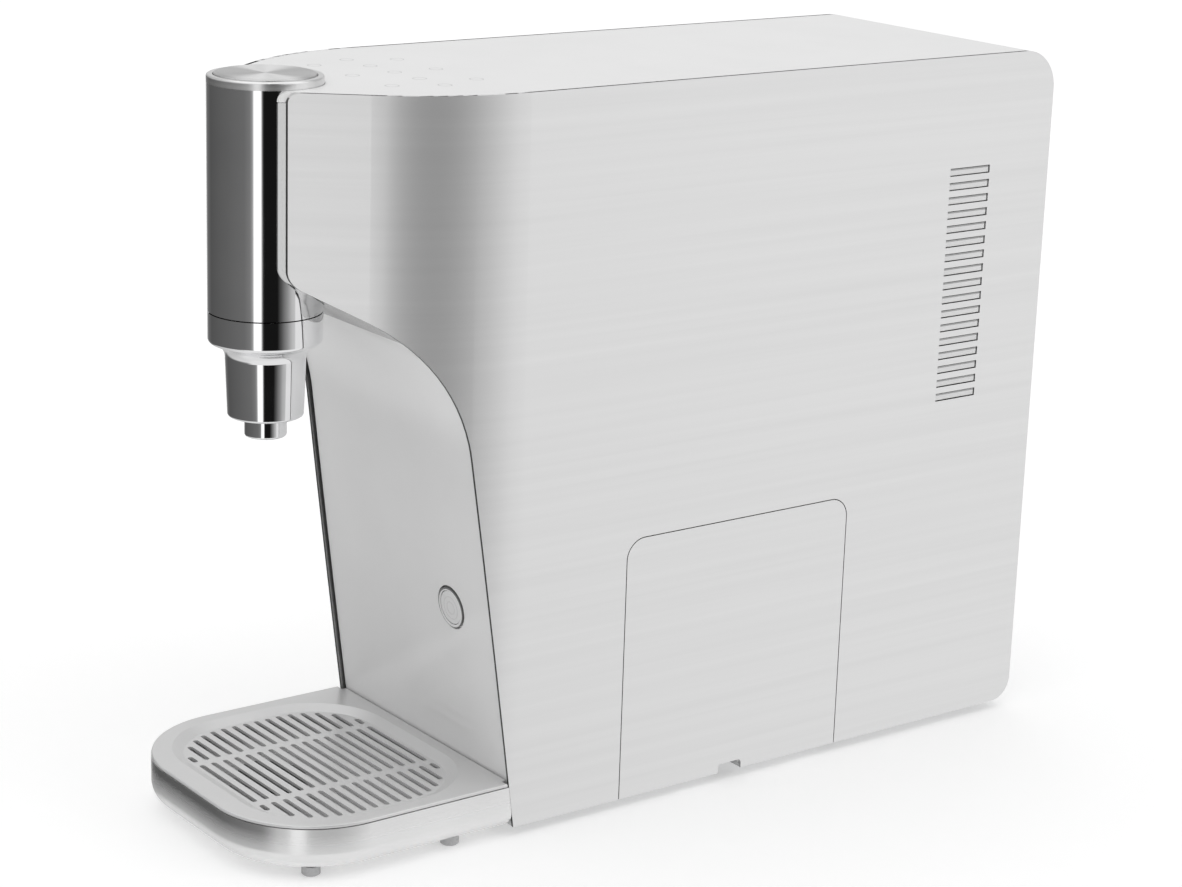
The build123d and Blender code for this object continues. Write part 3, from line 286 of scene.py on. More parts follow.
def paintedEdgeShade(material, values):
    # painted shade: 1 on the front edge, less inside the sheet and in its slots, 0 on the polished
    # face
    tree = material.node_tree
    place = tree.nodes.new("ShaderNodeTexCoord")
    facing = tree.nodes.new("ShaderNodeSeparateXYZ")
    where = tree.nodes.new("ShaderNodeSeparateXYZ")
    tree.links.new(place.outputs["Normal"], facing.inputs[0])
    tree.links.new(place.outputs["Object"], where.inputs[0])

    def above(value, limit):
        return mathStep(tree, "GREATER_THAN", value, limit)

    def below(value, limit):
        return mathStep(tree, "LESS_THAN", value, limit)

    def product(first, second):
        return mathStep(tree, "MULTIPLY", first, second)

    across, upward = (mathStep(tree, "ABSOLUTE", facing.outputs[k]) for k in (0, 2))
    inward = below(product(facing.outputs[0], where.outputs[0]), values["inwardBelow"])
    front = product(below(where.outputs[1], values["frontBelow"]),
                  below(facing.outputs[2], values["frontFacing"]))
    slot = product(above(upward, values["slotFacing"]),
                   above(where.outputs[1], values["slotBehind"]))
    slot = product(product(slot, below(where.outputs[2], values["slotUnder"])), values["slotShare"])
    cut = product(below(across, values["edgeFacing"]), mathStep(tree, "MAXIMUM", front, slot))
    return mathStep(tree, "MAXIMUM", product(inward, values["insideShare"]), cut)


sheetSteel = {
    "face": ((.86, .86, .86), (.89, .89, .89)),
    "edgeShadeColour": (.16, .16, .16),            # painted shade on the inside of the sheet and on its front and slot edges
    "roughness": (.43, .48),
    "anisotropy": .85,
    "fineGrain": (6, 6, 1500),         # stretched along the sheet
    "broadGrain": (2.5, 2.5, 220),
    "grainDepth": .000012,
    "grainStrength": .2,
    "edgeFacing": .35,                 # a cut edge faces less than this much sideways
    "frontBelow": 0.0,                 # front edges lie ahead of this y
    "frontFacing": .5,                 # and do not face up more than this
    "slotFacing": .7,                  # slot edges face up or down at least this much
    "slotBehind": .1,                  # slots lie behind this y and under this z
    "slotUnder": .35,
    "slotShare": .6,
    "inwardBelow": -.02,               # sideways facing times x on the inside
    "insideShare": .55,
}


def brushedSteel(values):
    material = plainFinish("brushedSteel", values["face"][0], Metallic=1.0, Roughness=.45,
                           Anisotropic=values["anisotropy"], Anisotropic_Rotation=.25)
    tree = material.node_tree
    grainLevel(material)
    fine = patternOn(material, scale=1.0, stretch=values["fineGrain"], detail=3)
    broad = patternOn(material, scale=1.0, stretch=values["broadGrain"], detail=4, shift=(3, 1, 7))
    face = tintOf(material, broad, *values["face"])
    # painted shade over the front edges, slot edges and inside face of the sheet
    colour = mixColours(tree, paintedEdgeShade(material, values), face, values["edgeShadeColour"])
    tree.links.new(colour, shaderOf(material).inputs["Base Color"])
    spread(material, fine, *values["roughness"])
    relief(material, fine, values["grainDepth"], values["grainStrength"])
    return material


def scaled(colour, factor):
    return tuple(min(1, channel * factor) for channel in colour)


def satin(name, colour, metallic, roughness, grain=2600, depth=.00001, vary=.035, spreadBy=.04,
          **sockets):
    # fine pressed grain under a faint cloud of lighter and darker paint
    material = plainFinish(name, colour, Metallic=metallic, Roughness=roughness, **sockets)
    speck = patternOn(material, scale=grain, detail=2)
    cloud = patternOn(material, scale=22, detail=3, shift=(5, 2, 1))
    tint(material, cloud, scaled(colour, 1 - vary), scaled(colour, 1 + vary))
    spread(material, speck, roughness - spreadBy, roughness + spreadBy)
    relief(material, speck, height=depth, strength=.35)
    return material


def shade(material, mask, dark):
    # darkens the colour already on the shader where the mask is 1
    tree = material.node_tree
    socket = shaderOf(material).inputs["Base Color"]
    tree.links.new(mixColours(tree, mask, socket.links[0].from_socket, dark), socket)
    return material


def coordinate(material, axis):
    tree = material.node_tree
    place = tree.nodes.new("ShaderNodeTexCoord")
    split = tree.nodes.new("ShaderNodeSeparateXYZ")
    tree.links.new(place.outputs["Object"], split.inputs[0])
    return split.outputs[axis]


def ringShade(material, centre, inner, dark):
    # everything farther than inner from the centre
    tree = material.node_tree
    place = tree.nodes.new("ShaderNodeTexCoord")
    away = tree.nodes.new("ShaderNodeVectorMath")
    away.operation = "DISTANCE"
    away.inputs[1].default_value = centre
    tree.links.new(place.outputs["Object"], away.inputs[0])
    mask = mathStep(tree, "GREATER_THAN", away.outputs["Value"], inner)
    return shade(material, mask, dark)


def bladeShade(material, name, count, share, dark, lift=.02, skin=2e-4):
    # the top of every louvre blade lies in the shadow of its slot
    tree = material.node_tree
    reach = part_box(name)[1].x - skin
    levels = sorted({round(v.co.z, 5) for v in nodes[name].data.vertices if v.co.x > reach})
    top = levels[-1]
    pitch = (top - levels[1]) / (count - 1)
    drop = mathStep(tree, "MULTIPLY", coordinate(material, 2), -1 / pitch)
    place = mathStep(tree, "FRACT", mathStep(tree, "ADD", drop, top / pitch + lift))
    return shade(material, mathStep(tree, "LESS_THAN", place, share), dark)


def fadeDown(material, low, high, least, most):
    # more metal shows high on the side, more bloom near the table
    spread(material, coordinate(material, 2), least, most, "Metallic", low, high)
    return material


def chromePlate(name):
    # mirror plating with a little haze and ripple
    material = plainFinish(name, (.90, .90, .905), Metallic=1.0, Roughness=.045)
    haze = patternOn(material, scale=35, detail=5)
    ripple = patternOn(material, scale=60, detail=1)
    tint(material, haze, dark=(.87, .872, .88), light=(.93, .93, .935))
    spread(material, haze, low=.03, high=.07)
    relief(material, ripple, height=.000006, strength=.3)
    return material


def spunMetal(name, centre, colour, roughness, anisotropy):
    # turning marks run round the centre, so light spreads in rays from it
    material = plainFinish(name, colour, Metallic=1.0, Roughness=roughness, Anisotropic=anisotropy)
    tree = material.node_tree
    place = tree.nodes.new("ShaderNodeTexCoord")
    away = tree.nodes.new("ShaderNodeVectorMath")
    away.operation = "SUBTRACT"
    away.inputs[1].default_value = centre
    tree.links.new(place.outputs["Object"], away.inputs[0])
    tree.links.new(away.outputs["Vector"], shaderOf(material).inputs["Tangent"])
    length = tree.nodes.new("ShaderNodeVectorMath")
    length.operation = "LENGTH"
    tree.links.new(away.outputs["Vector"], length.inputs[0])
    rings = tree.nodes.new("ShaderNodeTexNoise")
    rings.noise_dimensions = "1D"
    rings.inputs["Scale"].default_value = 1400
    rings.inputs["Detail"].default_value = 2
    tree.links.new(length.outputs["Value"], rings.inputs["W"])
    marks = rings.outputs["Fac"]
    tint(material, marks, scaled(colour, .95), scaled(colour, 1.04))
    spread(material, marks, low=roughness - .05, high=roughness + .05)
    relief(material, marks, height=.000012, strength=.35)
    return material


def mouldedPlastic(name, colour, roughness, scale, depth):
    # spark-eroded texture, scale in cells per metre
    material = plainFinish(name, colour, Roughness=roughness)
    cell = patternOn(material, scale=scale, kind="cell")
    cloud = patternOn(material, scale=30, detail=4, shift=(2, 4, 1))
    sheen = patternOn(material, scale=scale / 3, detail=3)
    tint(material, cloud, scaled(colour, .96), scaled(colour, 1.03))
    spread(material, sheen, low=roughness - .06, high=roughness + .06)
    relief(material, cell, height=depth, strength=.4)
    return material


def wornMetal(name, colour, roughness, dark, scale=45):
    # bare metal with handling stains and dulled patches
    material = plainFinish(name, colour, Metallic=1.0, Roughness=roughness)
    stain = patternOn(material, scale=scale, detail=6, shift=(1, 3, 2))
    patch = patternOn(material, scale=scale * 2.5, detail=4)
    grit = patternOn(material, scale=scale * 20, detail=2)
    tint(material, stain, dark=dark, light=colour, start=.25, end=.6)
    spread(material, patch, low=roughness - .08, high=roughness + .1)
    relief(material, grit, height=.00001, strength=.3)
    return material


def spangledSheet(name, colour):
    # zinc crystals on galvanised sheet
    material = plainFinish(name, colour, Metallic=1.0, Roughness=.4)
    crystal = patternOn(material, scale=130, kind="spangle")
    tint(material, crystal, dark=scaled(colour, .85), light=colour, start=0, end=1)
    spread(material, crystal, low=.3, high=.5, start=0, end=1)
    return material


def beadFoam():
    # expanded beads pressed together
    material = plainFinish("beadFoam", (.90, .90, .89), Roughness=.8)
    bead = patternOn(material, scale=330, kind="cell")
    tint(material, bead, dark=(.93, .93, .92), light=(.82, .82, .81), start=.1, end=.6)
    relief(material, bead, height=.0006, strength=-.8)
    return material


def circuitBoard():
    # solder mask over a maze of tracks
    material = plainFinish("circuitBoard", (.02, .16, .07), Roughness=.35, Coat_Weight=.4)
    tree = material.node_tree
    place = tree.nodes.new("ShaderNodeTexCoord")
    tracks = tree.nodes.new("ShaderNodeTexBrick")
    tracks.inputs["Scale"].default_value = 260
    tracks.inputs["Mortar Size"].default_value = .05
    tracks.inputs["Color1"].default_value = (.015, .15, .06, 1)
    tracks.inputs["Color2"].default_value = (.02, .19, .08, 1)
    tracks.inputs["Mortar"].default_value = (.09, .34, .16, 1)
    tree.links.new(place.outputs["Object"], tracks.inputs["Vector"])
    tree.links.new(tracks.outputs["Color"], shaderOf(material).inputs["Base Color"])
    relief(material, tracks.outputs["Fac"], height=.00004, strength=.5)
    return material


low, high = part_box("round_button")
buttonCentre = (low + high) / 2
low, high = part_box("dispense_disc")
discCentre = ((low.x + high.x) / 2, (low.y + high.y) / 2, high.z)
finishes = {
    "brushedSteel": brushedSteel(sheetSteel),
    "coverPaint": satin("coverPaint", (.88, .88, .88), metallic=.12, roughness=.42, vary=.012),
    "alcovePaint": satin(
        "alcovePaint", (.82, .82, .82), metallic=.1, roughness=.38, vary=.015, Coat_Weight=.7,
        Coat_Roughness=.08),
    "noseMetal": satin("noseMetal", (.56, .56, .56), metallic=.9, roughness=.2, vary=.02),
    "louvrePaint": bladeShade(
        satin("louvrePaint", (.84, .84, .84), metallic=.5, roughness=.36), "louvre_inserts",
        count=17, share=.13, dark=(.46, .46, .46)),
    "chrome": chromePlate("chromePlate"),
    "spunDisc": spunMetal("spunDisc", discCentre, (.71, .71, .71), roughness=.42, anisotropy=.95),
    "spunRing": spunMetal("spunRing", discCentre, (.80, .80, .80), roughness=.34, anisotropy=.6),
    "buttonPaint": satin(
        "buttonPaint", (.82, .82, .82), metallic=.15, roughness=.34, Coat_Weight=.5,
        Coat_Roughness=.12),
    "bezelPaint": ringShade(
        satin("bezelPaint", (.82, .82, .82), metallic=.15, roughness=.34), buttonCentre,
        inner=.0113, dark=(.20, .20, .20)),
    "trayMetal": fadeDown(
        satin("trayMetal", (.86, .86, .86), metallic=1.0, roughness=.2, vary=.02), low=.012,
        high=.025, least=.3, most=1.0),
    "grillePaint": satin("grillePaint", (.72, .72, .72), metallic=.35, roughness=.32, vary=.02),
    "basinPlastic": mouldedPlastic(
        "basinPlastic", (.70, .70, .70), roughness=.5, scale=1400, depth=.00002),
    "whitePlastic": mouldedPlastic(
        "whitePlastic", (.84, .84, .83), roughness=.4, scale=1300, depth=.00003),
    "cartridgePlastic": mouldedPlastic(
        "cartridgePlastic", (.88, .88, .875), roughness=.3, scale=2200, depth=.00001),
    "greyPlastic": mouldedPlastic(
        "greyPlastic", (.62, .625, .63), roughness=.5, scale=1500, depth=.00006),
    "darkPlastic": mouldedPlastic(
        "darkPlastic", (.045, .045, .05), roughness=.45, scale=1500, depth=.00004),
    "footPlastic": mouldedPlastic(
        "footPlastic", (.50, .50, .505), roughness=.28, scale=1800, depth=.00001),
    "hosePlastic": satin(
        "hosePlastic", (.82, .83, .84), metallic=0.0, roughness=.25, Coat_Weight=.3),
    "blackEnamel": satin(
        "blackEnamel", (.02, .02, .022), metallic=0.0, roughness=.22, grain=500, depth=.00005,
        Coat_Weight=.8, Coat_Roughness=.08),
    "bareSteel": wornMetal("bareSteel", (.60, .60, .61), roughness=.34, dark=(.46, .46, .47)),
    "springSteel": wornMetal(
        "springSteel", (.66, .66, .67), roughness=.25, dark=(.50, .50, .51), scale=90),
    "nickel": wornMetal("nickel", (.70, .68, .64), roughness=.2, dark=(.60, .58, .54), scale=70),
    "copperPipe": wornMetal(
        "copperPipe", (.74, .42, .28), roughness=.3, dark=(.52, .27, .17), scale=60),
    "finAluminium": wornMetal(
        "finAluminium", (.76, .77, .78), roughness=.4, dark=(.64, .65, .66), scale=80),
    "zincSheet": spangledSheet("zincSheet", (.66, .67, .68)),
    "beadFoam": beadFoam(),
    "circuitBoard": circuitBoard(),
    "markInk": satin("markInk", (.56, .56, .56), metallic=.2, roughness=.4),
    "faintInk": satin("faintInk", (.70, .70, .70), metallic=.15, roughness=.4),
    # near black: painted shade in the sump under the nozzle
    "sumpShadePlastic": mouldedPlastic(
        "sumpShadePlastic", (.03, .03, .032), roughness=.5, scale=1600, depth=.00003),
}
wears = {
    "brushedSteel": "side_panel_right side_panel_left filter_door",
    "coverPaint": "top_cover",
    "alcovePaint": "alcove_panel",
    "noseMetal": "nose_moulding",
    "louvrePaint": "louvre_inserts",
    "chrome": "tower_shell spout_cover nozzle_tip",
    "spunDisc": "dispense_disc",
    "spunRing": "tower_top_ring",
    "buttonPaint": "round_button",
    "bezelPaint": "button_bezel",
    "trayMetal": "tray_body",
    "grillePaint": "drip_grille",
    "basinPlastic": "drip_basin",
    "whitePlastic": "tower_core filter_bay filter_manifold door_liner chassis_frame board_tray"
                    " outlet_valves water_fittings inlet_valve flow_sensor",
    "cartridgePlastic": "filter_cartridge_1 filter_cartridge_2 filter_cartridge_3"
                        " filter_cartridge_4",
    "greyPlastic": "rear_panel base_pan",
    "footPlastic": "body_feet tray_feet",
    "darkPlastic": "disc_switch button_switch fan_frame fan_rotor power_gland heater_module"
                   " compressor_mounts",
    "hosePlastic": "inner_hoses",
    "blackEnamel": "compressor",
    "bareSteel": "tower_bracket door_catches valve_rail rear_screws base_screws cold_tank",
    "springSteel": "disc_spring",
    "nickel": "door_magnets",
    "copperPipe": "evaporator_coil filter_drier",
    "finAluminium": "condenser",
    "zincSheet": "power_supply",
    "beadFoam": "tank_foam",
    "circuitBoard": "main_board touch_board",
}


def coatNodes(plan):
    for finish, names in plan.items():
        for name in names.split():
            slots = nodes[name].data.materials
            slots.clear()
            slots.append(finishes[finish])


coatNodes(wears)
print("finishes on:", len(wears))


def startTree(name, inputs):
    tree = bpy.data.node_groups.new(name, "GeometryNodeTree")
    tree.interface.new_socket(name="Geometry", in_out="OUTPUT", socket_type="NodeSocketGeometry")
    for label, kind in inputs:
        tree.interface.new_socket(name=label, in_out="INPUT", socket_type="NodeSocket" + kind)
    return tree, tree.nodes.new("NodeGroupInput").outputs


def endTree(tree, geometry, finish):
    real = tree.nodes.new("GeometryNodeRealizeInstances")
    paint = tree.nodes.new("GeometryNodeSetMaterial")
    leave = tree.nodes.new("NodeGroupOutput")
    tree.links.new(geometry, real.inputs["Geometry"])
    tree.links.new(real.outputs["Geometry"], paint.inputs["Geometry"])
    tree.links.new(finish, paint.inputs["Material"])
    tree.links.new(paint.outputs["Geometry"], leave.inputs["Geometry"])


def placeMesh(name, mesh):
    piece = bpy.data.objects.new(name, mesh)
    scene.collection.objects.link(piece)
    return piece


def meshFrom(built, name):
    mesh = bpy.data.meshes.new(name)
    built.to_mesh(mesh)
    built.free()
    return mesh


def plainMesh(thing):
    graph = bpy.context.evaluated_depsgraph_get()
    return bpy.data.meshes.new_from_object(thing.evaluated_get(graph))


def growPiece(name, tree, values, body):
    seed = placeMesh(name + "Seed", bpy.data.meshes.new(name + "Seed"))
    grower = seed.modifiers.new("grow", "NODES")
    grower.node_group = tree
    for item in tree.interface.items_tree:
        if item.in_out == "INPUT":
            grower[item.identifier] = values[item.name]
    mesh = plainMesh(seed)
    seed.modifiers.remove(grower)
    bpy.data.objects.remove(seed)
    mesh.name = name
    piece = placeMesh(name, mesh)
    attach(piece, body)
    return piece


def joinAll(tree, *pairs):
    for start, end in pairs:
        tree.links.new(start, end)


def addNode(tree, kind, **settings):
    made = tree.nodes.new(kind)
    for key, value in settings.items():
        setattr(made, key, value)
    return made


def combine(tree, x=0.0, y=0.0, z=0.0):
    made = tree.nodes.new("ShaderNodeCombineXYZ")
    for socket, value in zip(made.inputs, (x, y, z)):
        if isinstance(value, (int, float)):
            socket.default_value = value
        else:
            tree.links.new(value, socket)
    return made.outputs[0]


coverMarks = {
    "Radius": .0034,
    "Band": .00045,                    # width of the printed line
    "Height": .00004,
    "Spacing": .0225,
    "Row Gap": .0245,
    "rows": ((3, -1.0, 1.6), (5, 0.0, 1.0), (3, 1.0, 1.6)),  # keys, rows back, spacing share
    "segments": 28,
    "behindDisc": .0735,               # middle row, behind the disc's centre
    "sunk": .2,                        # share of the height
}


def markTree(values):
    # rows of plain key rings
    tree, given = startTree("keyRings", [
        ("Radius", "Float"), ("Band", "Float"), ("Height", "Float"), ("Spacing", "Float"),
        ("Row Gap", "Float"), ("Place", "Vector"), ("Finish", "Material")])
    ring = addNode(tree, "GeometryNodeCurvePrimitiveCircle")
    ring.inputs["Resolution"].default_value = values["segments"]
    strip = addNode(tree, "GeometryNodeCurvePrimitiveQuadrilateral")
    sweep = addNode(tree, "GeometryNodeCurveToMesh")
    rows = addNode(tree, "GeometryNodeJoinGeometry")
    stamp = addNode(tree, "GeometryNodeInstanceOnPoints")
    shift = addNode(tree, "GeometryNodeTransform")
    joinAll(tree,
            (given["Radius"], ring.inputs["Radius"]),
            (given["Band"], strip.inputs["Width"]),
            (given["Height"], strip.inputs["Height"]),
            (ring.outputs["Curve"], sweep.inputs["Curve"]),
            (strip.outputs["Curve"], sweep.inputs["Profile Curve"]))
    for count, back, share in values["rows"]:
        line = addNode(tree, "GeometryNodeMeshLine", mode="OFFSET")
        line.inputs["Count"].default_value = count
        step = mathStep(tree, "MULTIPLY", given["Spacing"], share)
        half = mathStep(tree, "MULTIPLY", step, -(count - 1) / 2)
        start = combine(tree, half, mathStep(tree, "MULTIPLY", given["Row Gap"], back), 0.0)
        joinAll(tree,
                (combine(tree, step), line.inputs["Offset"]),
                (start, line.inputs["Start Location"]),
                (line.outputs["Mesh"], rows.inputs["Geometry"]))
    joinAll(tree,
            (rows.outputs["Geometry"], stamp.inputs["Points"]),
            (sweep.outputs["Mesh"], stamp.inputs["Instance"]),
            (stamp.outputs["Instances"], shift.inputs["Geometry"]),
            (given["Place"], shift.inputs["Translation"]))
    endTree(tree, shift.outputs["Geometry"], given["Finish"])
    return tree


def printMarks(values):
    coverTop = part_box("top_cover")[1].z
    sizes = {
        **values,
        "Place": (0, discCentre[1] + values["behindDisc"],
                  coverTop - values["Height"] * values["sunk"]),
        "Finish": finishes["markInk"],
    }
    growPiece("touchKeyMarks", markTree(values), sizes, "housing")


printMarks(coverMarks)
print("touch key marks printed")

# a near-black ribbed oval under the grille, which paints the shade in the sump below the nozzle
splashScreen = {
    "Ribs": 13,
    "Half Length": .0215,              # along the slots
    "Half Width": .0160,
    "Rib Width": .0013,
    "Rib Height": .0018,
    "Rim": .0007,
    "segments": 64,
    "behindNozzle": .004,
    "bite": .0002,                     # into the plate that it hangs from
}


def screenTree(values):
    # level ribs inside an oval rim, each as long as the oval is there; near black, as painted shade
    # of the sump under the nozzle
    tree, given = startTree("ovalSumpShade", [
        ("Ribs", "Int"), ("Half Length", "Float"), ("Half Width", "Float"), ("Rib Width", "Float"),
        ("Rib Height", "Float"), ("Rim", "Float"), ("Place", "Vector"), ("Finish", "Material")])
    line = addNode(tree, "GeometryNodeMeshLine", mode="END_POINTS")
    inner = mathStep(tree, "SUBTRACT", given["Half Width"], given["Rib Width"])
    near = combine(tree, 0.0, mathStep(tree, "MULTIPLY", inner, -1.0), 0.0)
    rib = addNode(tree, "GeometryNodeMeshCube")
    where = addNode(tree, "GeometryNodeInputPosition")
    split = addNode(tree, "ShaderNodeSeparateXYZ")
    joinAll(tree,
            (given["Ribs"], line.inputs["Count"]),
            (near, line.inputs["Start Location"]),
            (combine(tree, 0.0, inner, 0.0), line.inputs["Offset"]),
            (combine(tree, 1.0, given["Rib Width"], given["Rib Height"]), rib.inputs["Size"]),
            (where.outputs["Position"], split.inputs[0]))
    share = mathStep(tree, "DIVIDE", split.outputs[1], given["Half Width"])
    rest = mathStep(tree, "SUBTRACT", 1.0, mathStep(tree, "MULTIPLY", share, share))
    across = mathStep(tree, "MULTIPLY", mathStep(tree, "SQRT", rest), 2.0)
    length = mathStep(tree, "MULTIPLY", across, given["Half Length"])
    stamp = addNode(tree, "GeometryNodeInstanceOnPoints")
    joinAll(tree,
            (line.outputs["Mesh"], stamp.inputs["Points"]),
            (rib.outputs["Mesh"], stamp.inputs["Instance"]),
            (combine(tree, length, 1.0, 1.0), stamp.inputs["Scale"]))
    oval = addNode(tree, "GeometryNodeCurvePrimitiveCircle")
    oval.inputs["Resolution"].default_value = values["segments"]
    oval.inputs["Radius"].default_value = 1.0
    stretch = addNode(tree, "GeometryNodeTransform")
    reach = combine(tree, given["Half Length"], given["Half Width"], 1.0)
    profile = addNode(tree, "GeometryNodeCurvePrimitiveQuadrilateral")
    sweep = addNode(tree, "GeometryNodeCurveToMesh")
    both = addNode(tree, "GeometryNodeJoinGeometry")
    shift = addNode(tree, "GeometryNodeTransform")
    joinAll(tree,
            (oval.outputs["Curve"], stretch.inputs["Geometry"]),
            (reach, stretch.inputs["Scale"]),
            (stretch.outputs["Geometry"], sweep.inputs["Curve"]),
            (given["Rim"], profile.inputs["Width"]),
            (given["Rib Height"], profile.inputs["Height"]),
            (profile.outputs["Curve"], sweep.inputs["Profile Curve"]),
            (stamp.outputs["Instances"], both.inputs["Geometry"]),
            (sweep.outputs["Mesh"], both.inputs["Geometry"]),
            (both.outputs["Geometry"], shift.inputs["Geometry"]),
            (given["Place"], shift.inputs["Translation"]))
    endTree(tree, shift.outputs["Geometry"], given["Finish"])
    return tree


def hangSumpShade(values):
    nozzleLow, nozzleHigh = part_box("nozzle_tip")
    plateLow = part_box("drip_grille")[0].z
    sizes = {
        **values,
        "Place": ((nozzleLow.x + nozzleHigh.x) / 2,
                  (nozzleLow.y + nozzleHigh.y) / 2 + values["behindNozzle"],
                  plateLow + values["bite"] - values["Rib Height"] / 2),
        "Finish": finishes["sumpShadePlastic"],
    }
    growPiece("splashScreen", screenTree(values), sizes, "drip_grille")


hangSumpShade(splashScreen)
print("splash screen hung")

buttonRings = {
    "radii": (.0063, .0036),
    "band": .0005,
    "thickness": .00009,
    "sunk": .00003,
    "lean": 7.9,                       # degrees, as the alcove leans
    "segments": 48,
}


def ringOnto(built, radius, values):
    # a closed band with a square section, flat on its own XY plane
    inner, top, count = radius - values["band"], values["thickness"], values["segments"]
    loops = []
    for reach, level in ((radius, 0), (radius, top), (inner, top), (inner, 0)):
        turns = (2 * math.pi * k / count for k in range(count))
        loops.append([built.verts.new((reach * math.cos(a), reach * math.sin(a), level))
                      for a in turns])
    for here, there in zip(loops, loops[1:] + loops[:1]):
        for i in range(count):
            j = (i + 1) % count
            built.faces.new((here[i], here[j], there[j], there[i]))


def markButton(values):
    lean = math.radians(values["lean"])
    out = Vector((0, -math.cos(lean), -math.sin(lean)))
    reach = max(v.co.dot(out) for v in nodes["round_button"].data.vertices)
    middle = buttonCentre + out * (reach - buttonCentre.dot(out))
    built = bmesh.new()
    for radius in values["radii"]:
        ringOnto(built, radius, values)
    bmesh.ops.recalc_face_normals(built, faces=built.faces)
    turn = Vector((0, 0, 1)).rotation_difference(out).to_matrix().to_4x4()
    built.transform(Matrix.Translation(middle - out * values["sunk"]) @ turn)
    mesh = meshFrom(built, "buttonMark")
    mesh.materials.append(finishes["faintInk"])
    piece = placeMesh("buttonMark", mesh)
    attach(piece, "round_button")


markButton(buttonRings)
print("button marked")

rearScrews = {
    "head": .004,
    "headHeight": .0022,
    # shares of the head's radius and height, from the middle out to the seat
    "dome": ((0, 1), (.3, .98), (.62, .86), (.86, .58), (.97, .28), (1, .1), (.97, 0)),
    "shank": .0018,
    "shankLength": .010,
    "taperFrom": .94,                  # share of the length
    "tip": .6,                         # share of the shank's radius
    "recess": (.0044, .0009, .0013),   # length, width, depth of the cross
    "recessNarrow": .35,               # how long its floor is against its mouth
    "recessOver": 1.05,
    "recessRise": .0002,
    "segments": 40,
}


def turnedScrew(values):
    # domed head and shank, pointing along -Z from its seat
    head, height, shank = values["head"], values["headHeight"], values["shank"]
    tip = -values["shankLength"]
    profile = [(r * head, z * height) for r, z in values["dome"]]
    profile += [(shank, 0), (shank, tip * values["taperFrom"]), (shank * values["tip"], tip),
                (0, tip)]
    built = bmesh.new()
    rim = [built.verts.new((r, 0, z)) for r, z in profile]
    edges = [built.edges.new(pair) for pair in zip(rim, rim[1:])]
    bmesh.ops.spin(built, geom=rim + edges, angle=2 * math.pi, steps=values["segments"],
                   axis=(0, 0, 1), cent=(0, 0, 0))
    bmesh.ops.remove_doubles(built, verts=built.verts, dist=1e-6)
    bmesh.ops.recalc_face_normals(built, faces=built.faces)
    mesh = meshFrom(built, "screwShape")
    for face in mesh.polygons:
        face.use_smooth = True
    return mesh


def crossCutter(values):
    # two crossed bars that narrow towards the floor of the recess
    length, width, depth = values["recess"]
    middle = values["headHeight"] - depth / 2
    built = bmesh.new()
    for turn in (0, math.pi / 2):
        bar = bmesh.ops.create_cube(built, size=1)["verts"]
        for vertex in bar:
            x, y, z = vertex.co
            narrow = values["recessNarrow"] if z < 0 else 1.0
            vertex.co = Vector((x * length * narrow, y * width * (.5 + narrow / 2),
                                middle + z * depth * values["recessOver"] + values["recessRise"]))
        bmesh.ops.rotate(built, verts=bar, cent=(0, 0, 0), matrix=Matrix.Rotation(turn, 3, "Z"))
    return meshFrom(built, "crossCutter")


def inFixedOrder(mesh):
    # the cut leaves its points and faces in any order, so they are put in order of place
    places = [tuple(round(c, 7) for c in vertex.co) for vertex in mesh.vertices]
    order = sorted(range(len(places)), key=places.__getitem__)
    rank = {old: new for new, old in enumerate(order)}
    faces = []
    for face in mesh.polygons:
        loop = [rank[k] for k in face.vertices]
        faces.append((sorted(loop), loop, face.use_smooth))
    faces.sort()
    made = bpy.data.meshes.new(mesh.name)
    made.from_pydata([mesh.vertices[k].co for k in order], [], [loop for _, loop, _ in faces])
    made.polygons.foreach_set("use_smooth", [smooth for _, _, smooth in faces])
    return made


def screwShape(values):
    screw = placeMesh("screwShape", turnedScrew(values))
    knife = placeMesh("crossCutter", crossCutter(values))
    cut = screw.modifiers.new("cross", "BOOLEAN")
    cut.object = knife
    cut.operation = "DIFFERENCE"
    cut.solver = "EXACT"
    cut.use_self = True
    cutMesh = plainMesh(screw)
    screw.modifiers.remove(cut)
    screw.data = inFixedOrder(cutMesh)
    bpy.data.objects.remove(knife)
    return screw


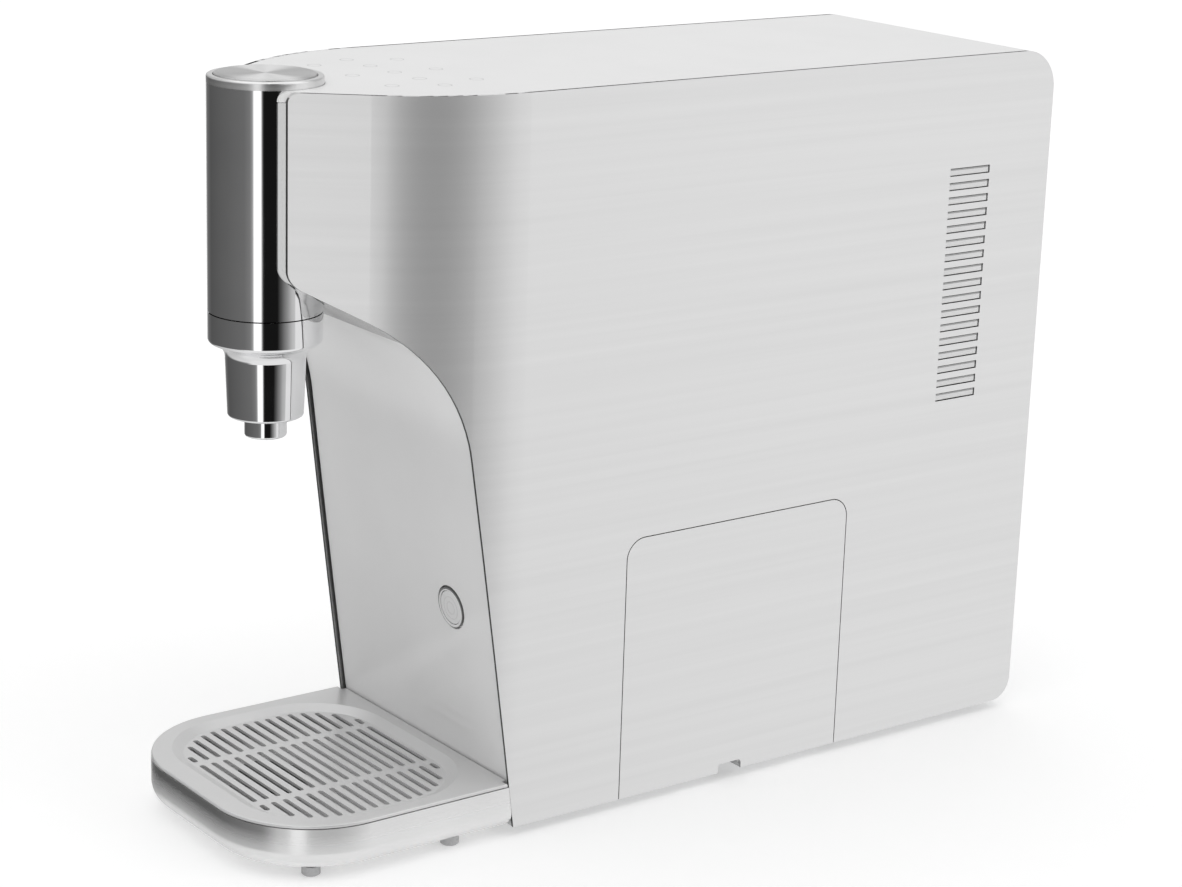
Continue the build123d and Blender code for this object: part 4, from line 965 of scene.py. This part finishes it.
def screwTree():
    # one screw at each corner of a rectangle that stands up
    tree, given = startTree("cornerScrews", [
        ("Width", "Float"), ("Height", "Float"), ("Place", "Vector"), ("Shape", "Object"),
        ("Finish", "Material")])
    grid = addNode(tree, "GeometryNodeMeshGrid")
    grid.inputs["Vertices X"].default_value = 2
    grid.inputs["Vertices Y"].default_value = 2
    shape = addNode(tree, "GeometryNodeObjectInfo")
    stamp = addNode(tree, "GeometryNodeInstanceOnPoints")
    stand = addNode(tree, "GeometryNodeTransform")
    stand.inputs["Rotation"].default_value = (-math.pi / 2, 0, 0)
    joinAll(tree,
            (given["Width"], grid.inputs["Size X"]),
            (given["Height"], grid.inputs["Size Y"]),
            (given["Shape"], shape.inputs["Object"]),
            (grid.outputs["Mesh"], stamp.inputs["Points"]),
            (shape.outputs["Geometry"], stamp.inputs["Instance"]),
            (stamp.outputs["Instances"], stand.inputs["Geometry"]),
            (given["Place"], stand.inputs["Translation"]))
    endTree(tree, stand.outputs["Geometry"], given["Finish"])
    return tree


def driveScrews(values):
    low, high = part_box("rear_screws")
    reach = values["head"]
    shape = screwShape(values)
    sizes = {
        "Width": high.x - low.x - 2 * reach,
        "Height": high.z - low.z - 2 * reach,
        "Place": ((low.x + high.x) / 2, high.y - values["headHeight"], (low.z + high.z) / 2),
        "Shape": shape,
        "Finish": finishes["bareSteel"],
    }
    piece = growPiece("rearPanelScrews", screwTree(), sizes, "housing")
    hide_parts("rear_screws")
    bpy.data.objects.remove(shape)


driveScrews(rearScrews)
print("rear screws driven")

floorPlane = {
    "halfSize": 30.0,
    "colour": (.80, .80, .80),
    "roughness": .9,
    "glow": .30,                       # keeps the shadow pale
}


def layFloor(values):
    half = values["halfSize"]
    mesh = bpy.data.meshes.new("floor")
    mesh.from_pydata([(-half, -half, 0), (half, -half, 0), (half, half, 0), (-half, half, 0)], [],
                     [(0, 1, 2, 3)])
    floor = placeMesh("floor", mesh)
    floor.visible_glossy = False
    paper = plainFinish("floorPaper", values["colour"], Roughness=values["roughness"],
                        Emission_Strength=values["glow"])
    shaderOf(paper).inputs["Emission Color"].default_value = (1, 1, 1, 1)
    mesh.materials.append(paper)


layFloor(floorPlane)
print("floor laid")
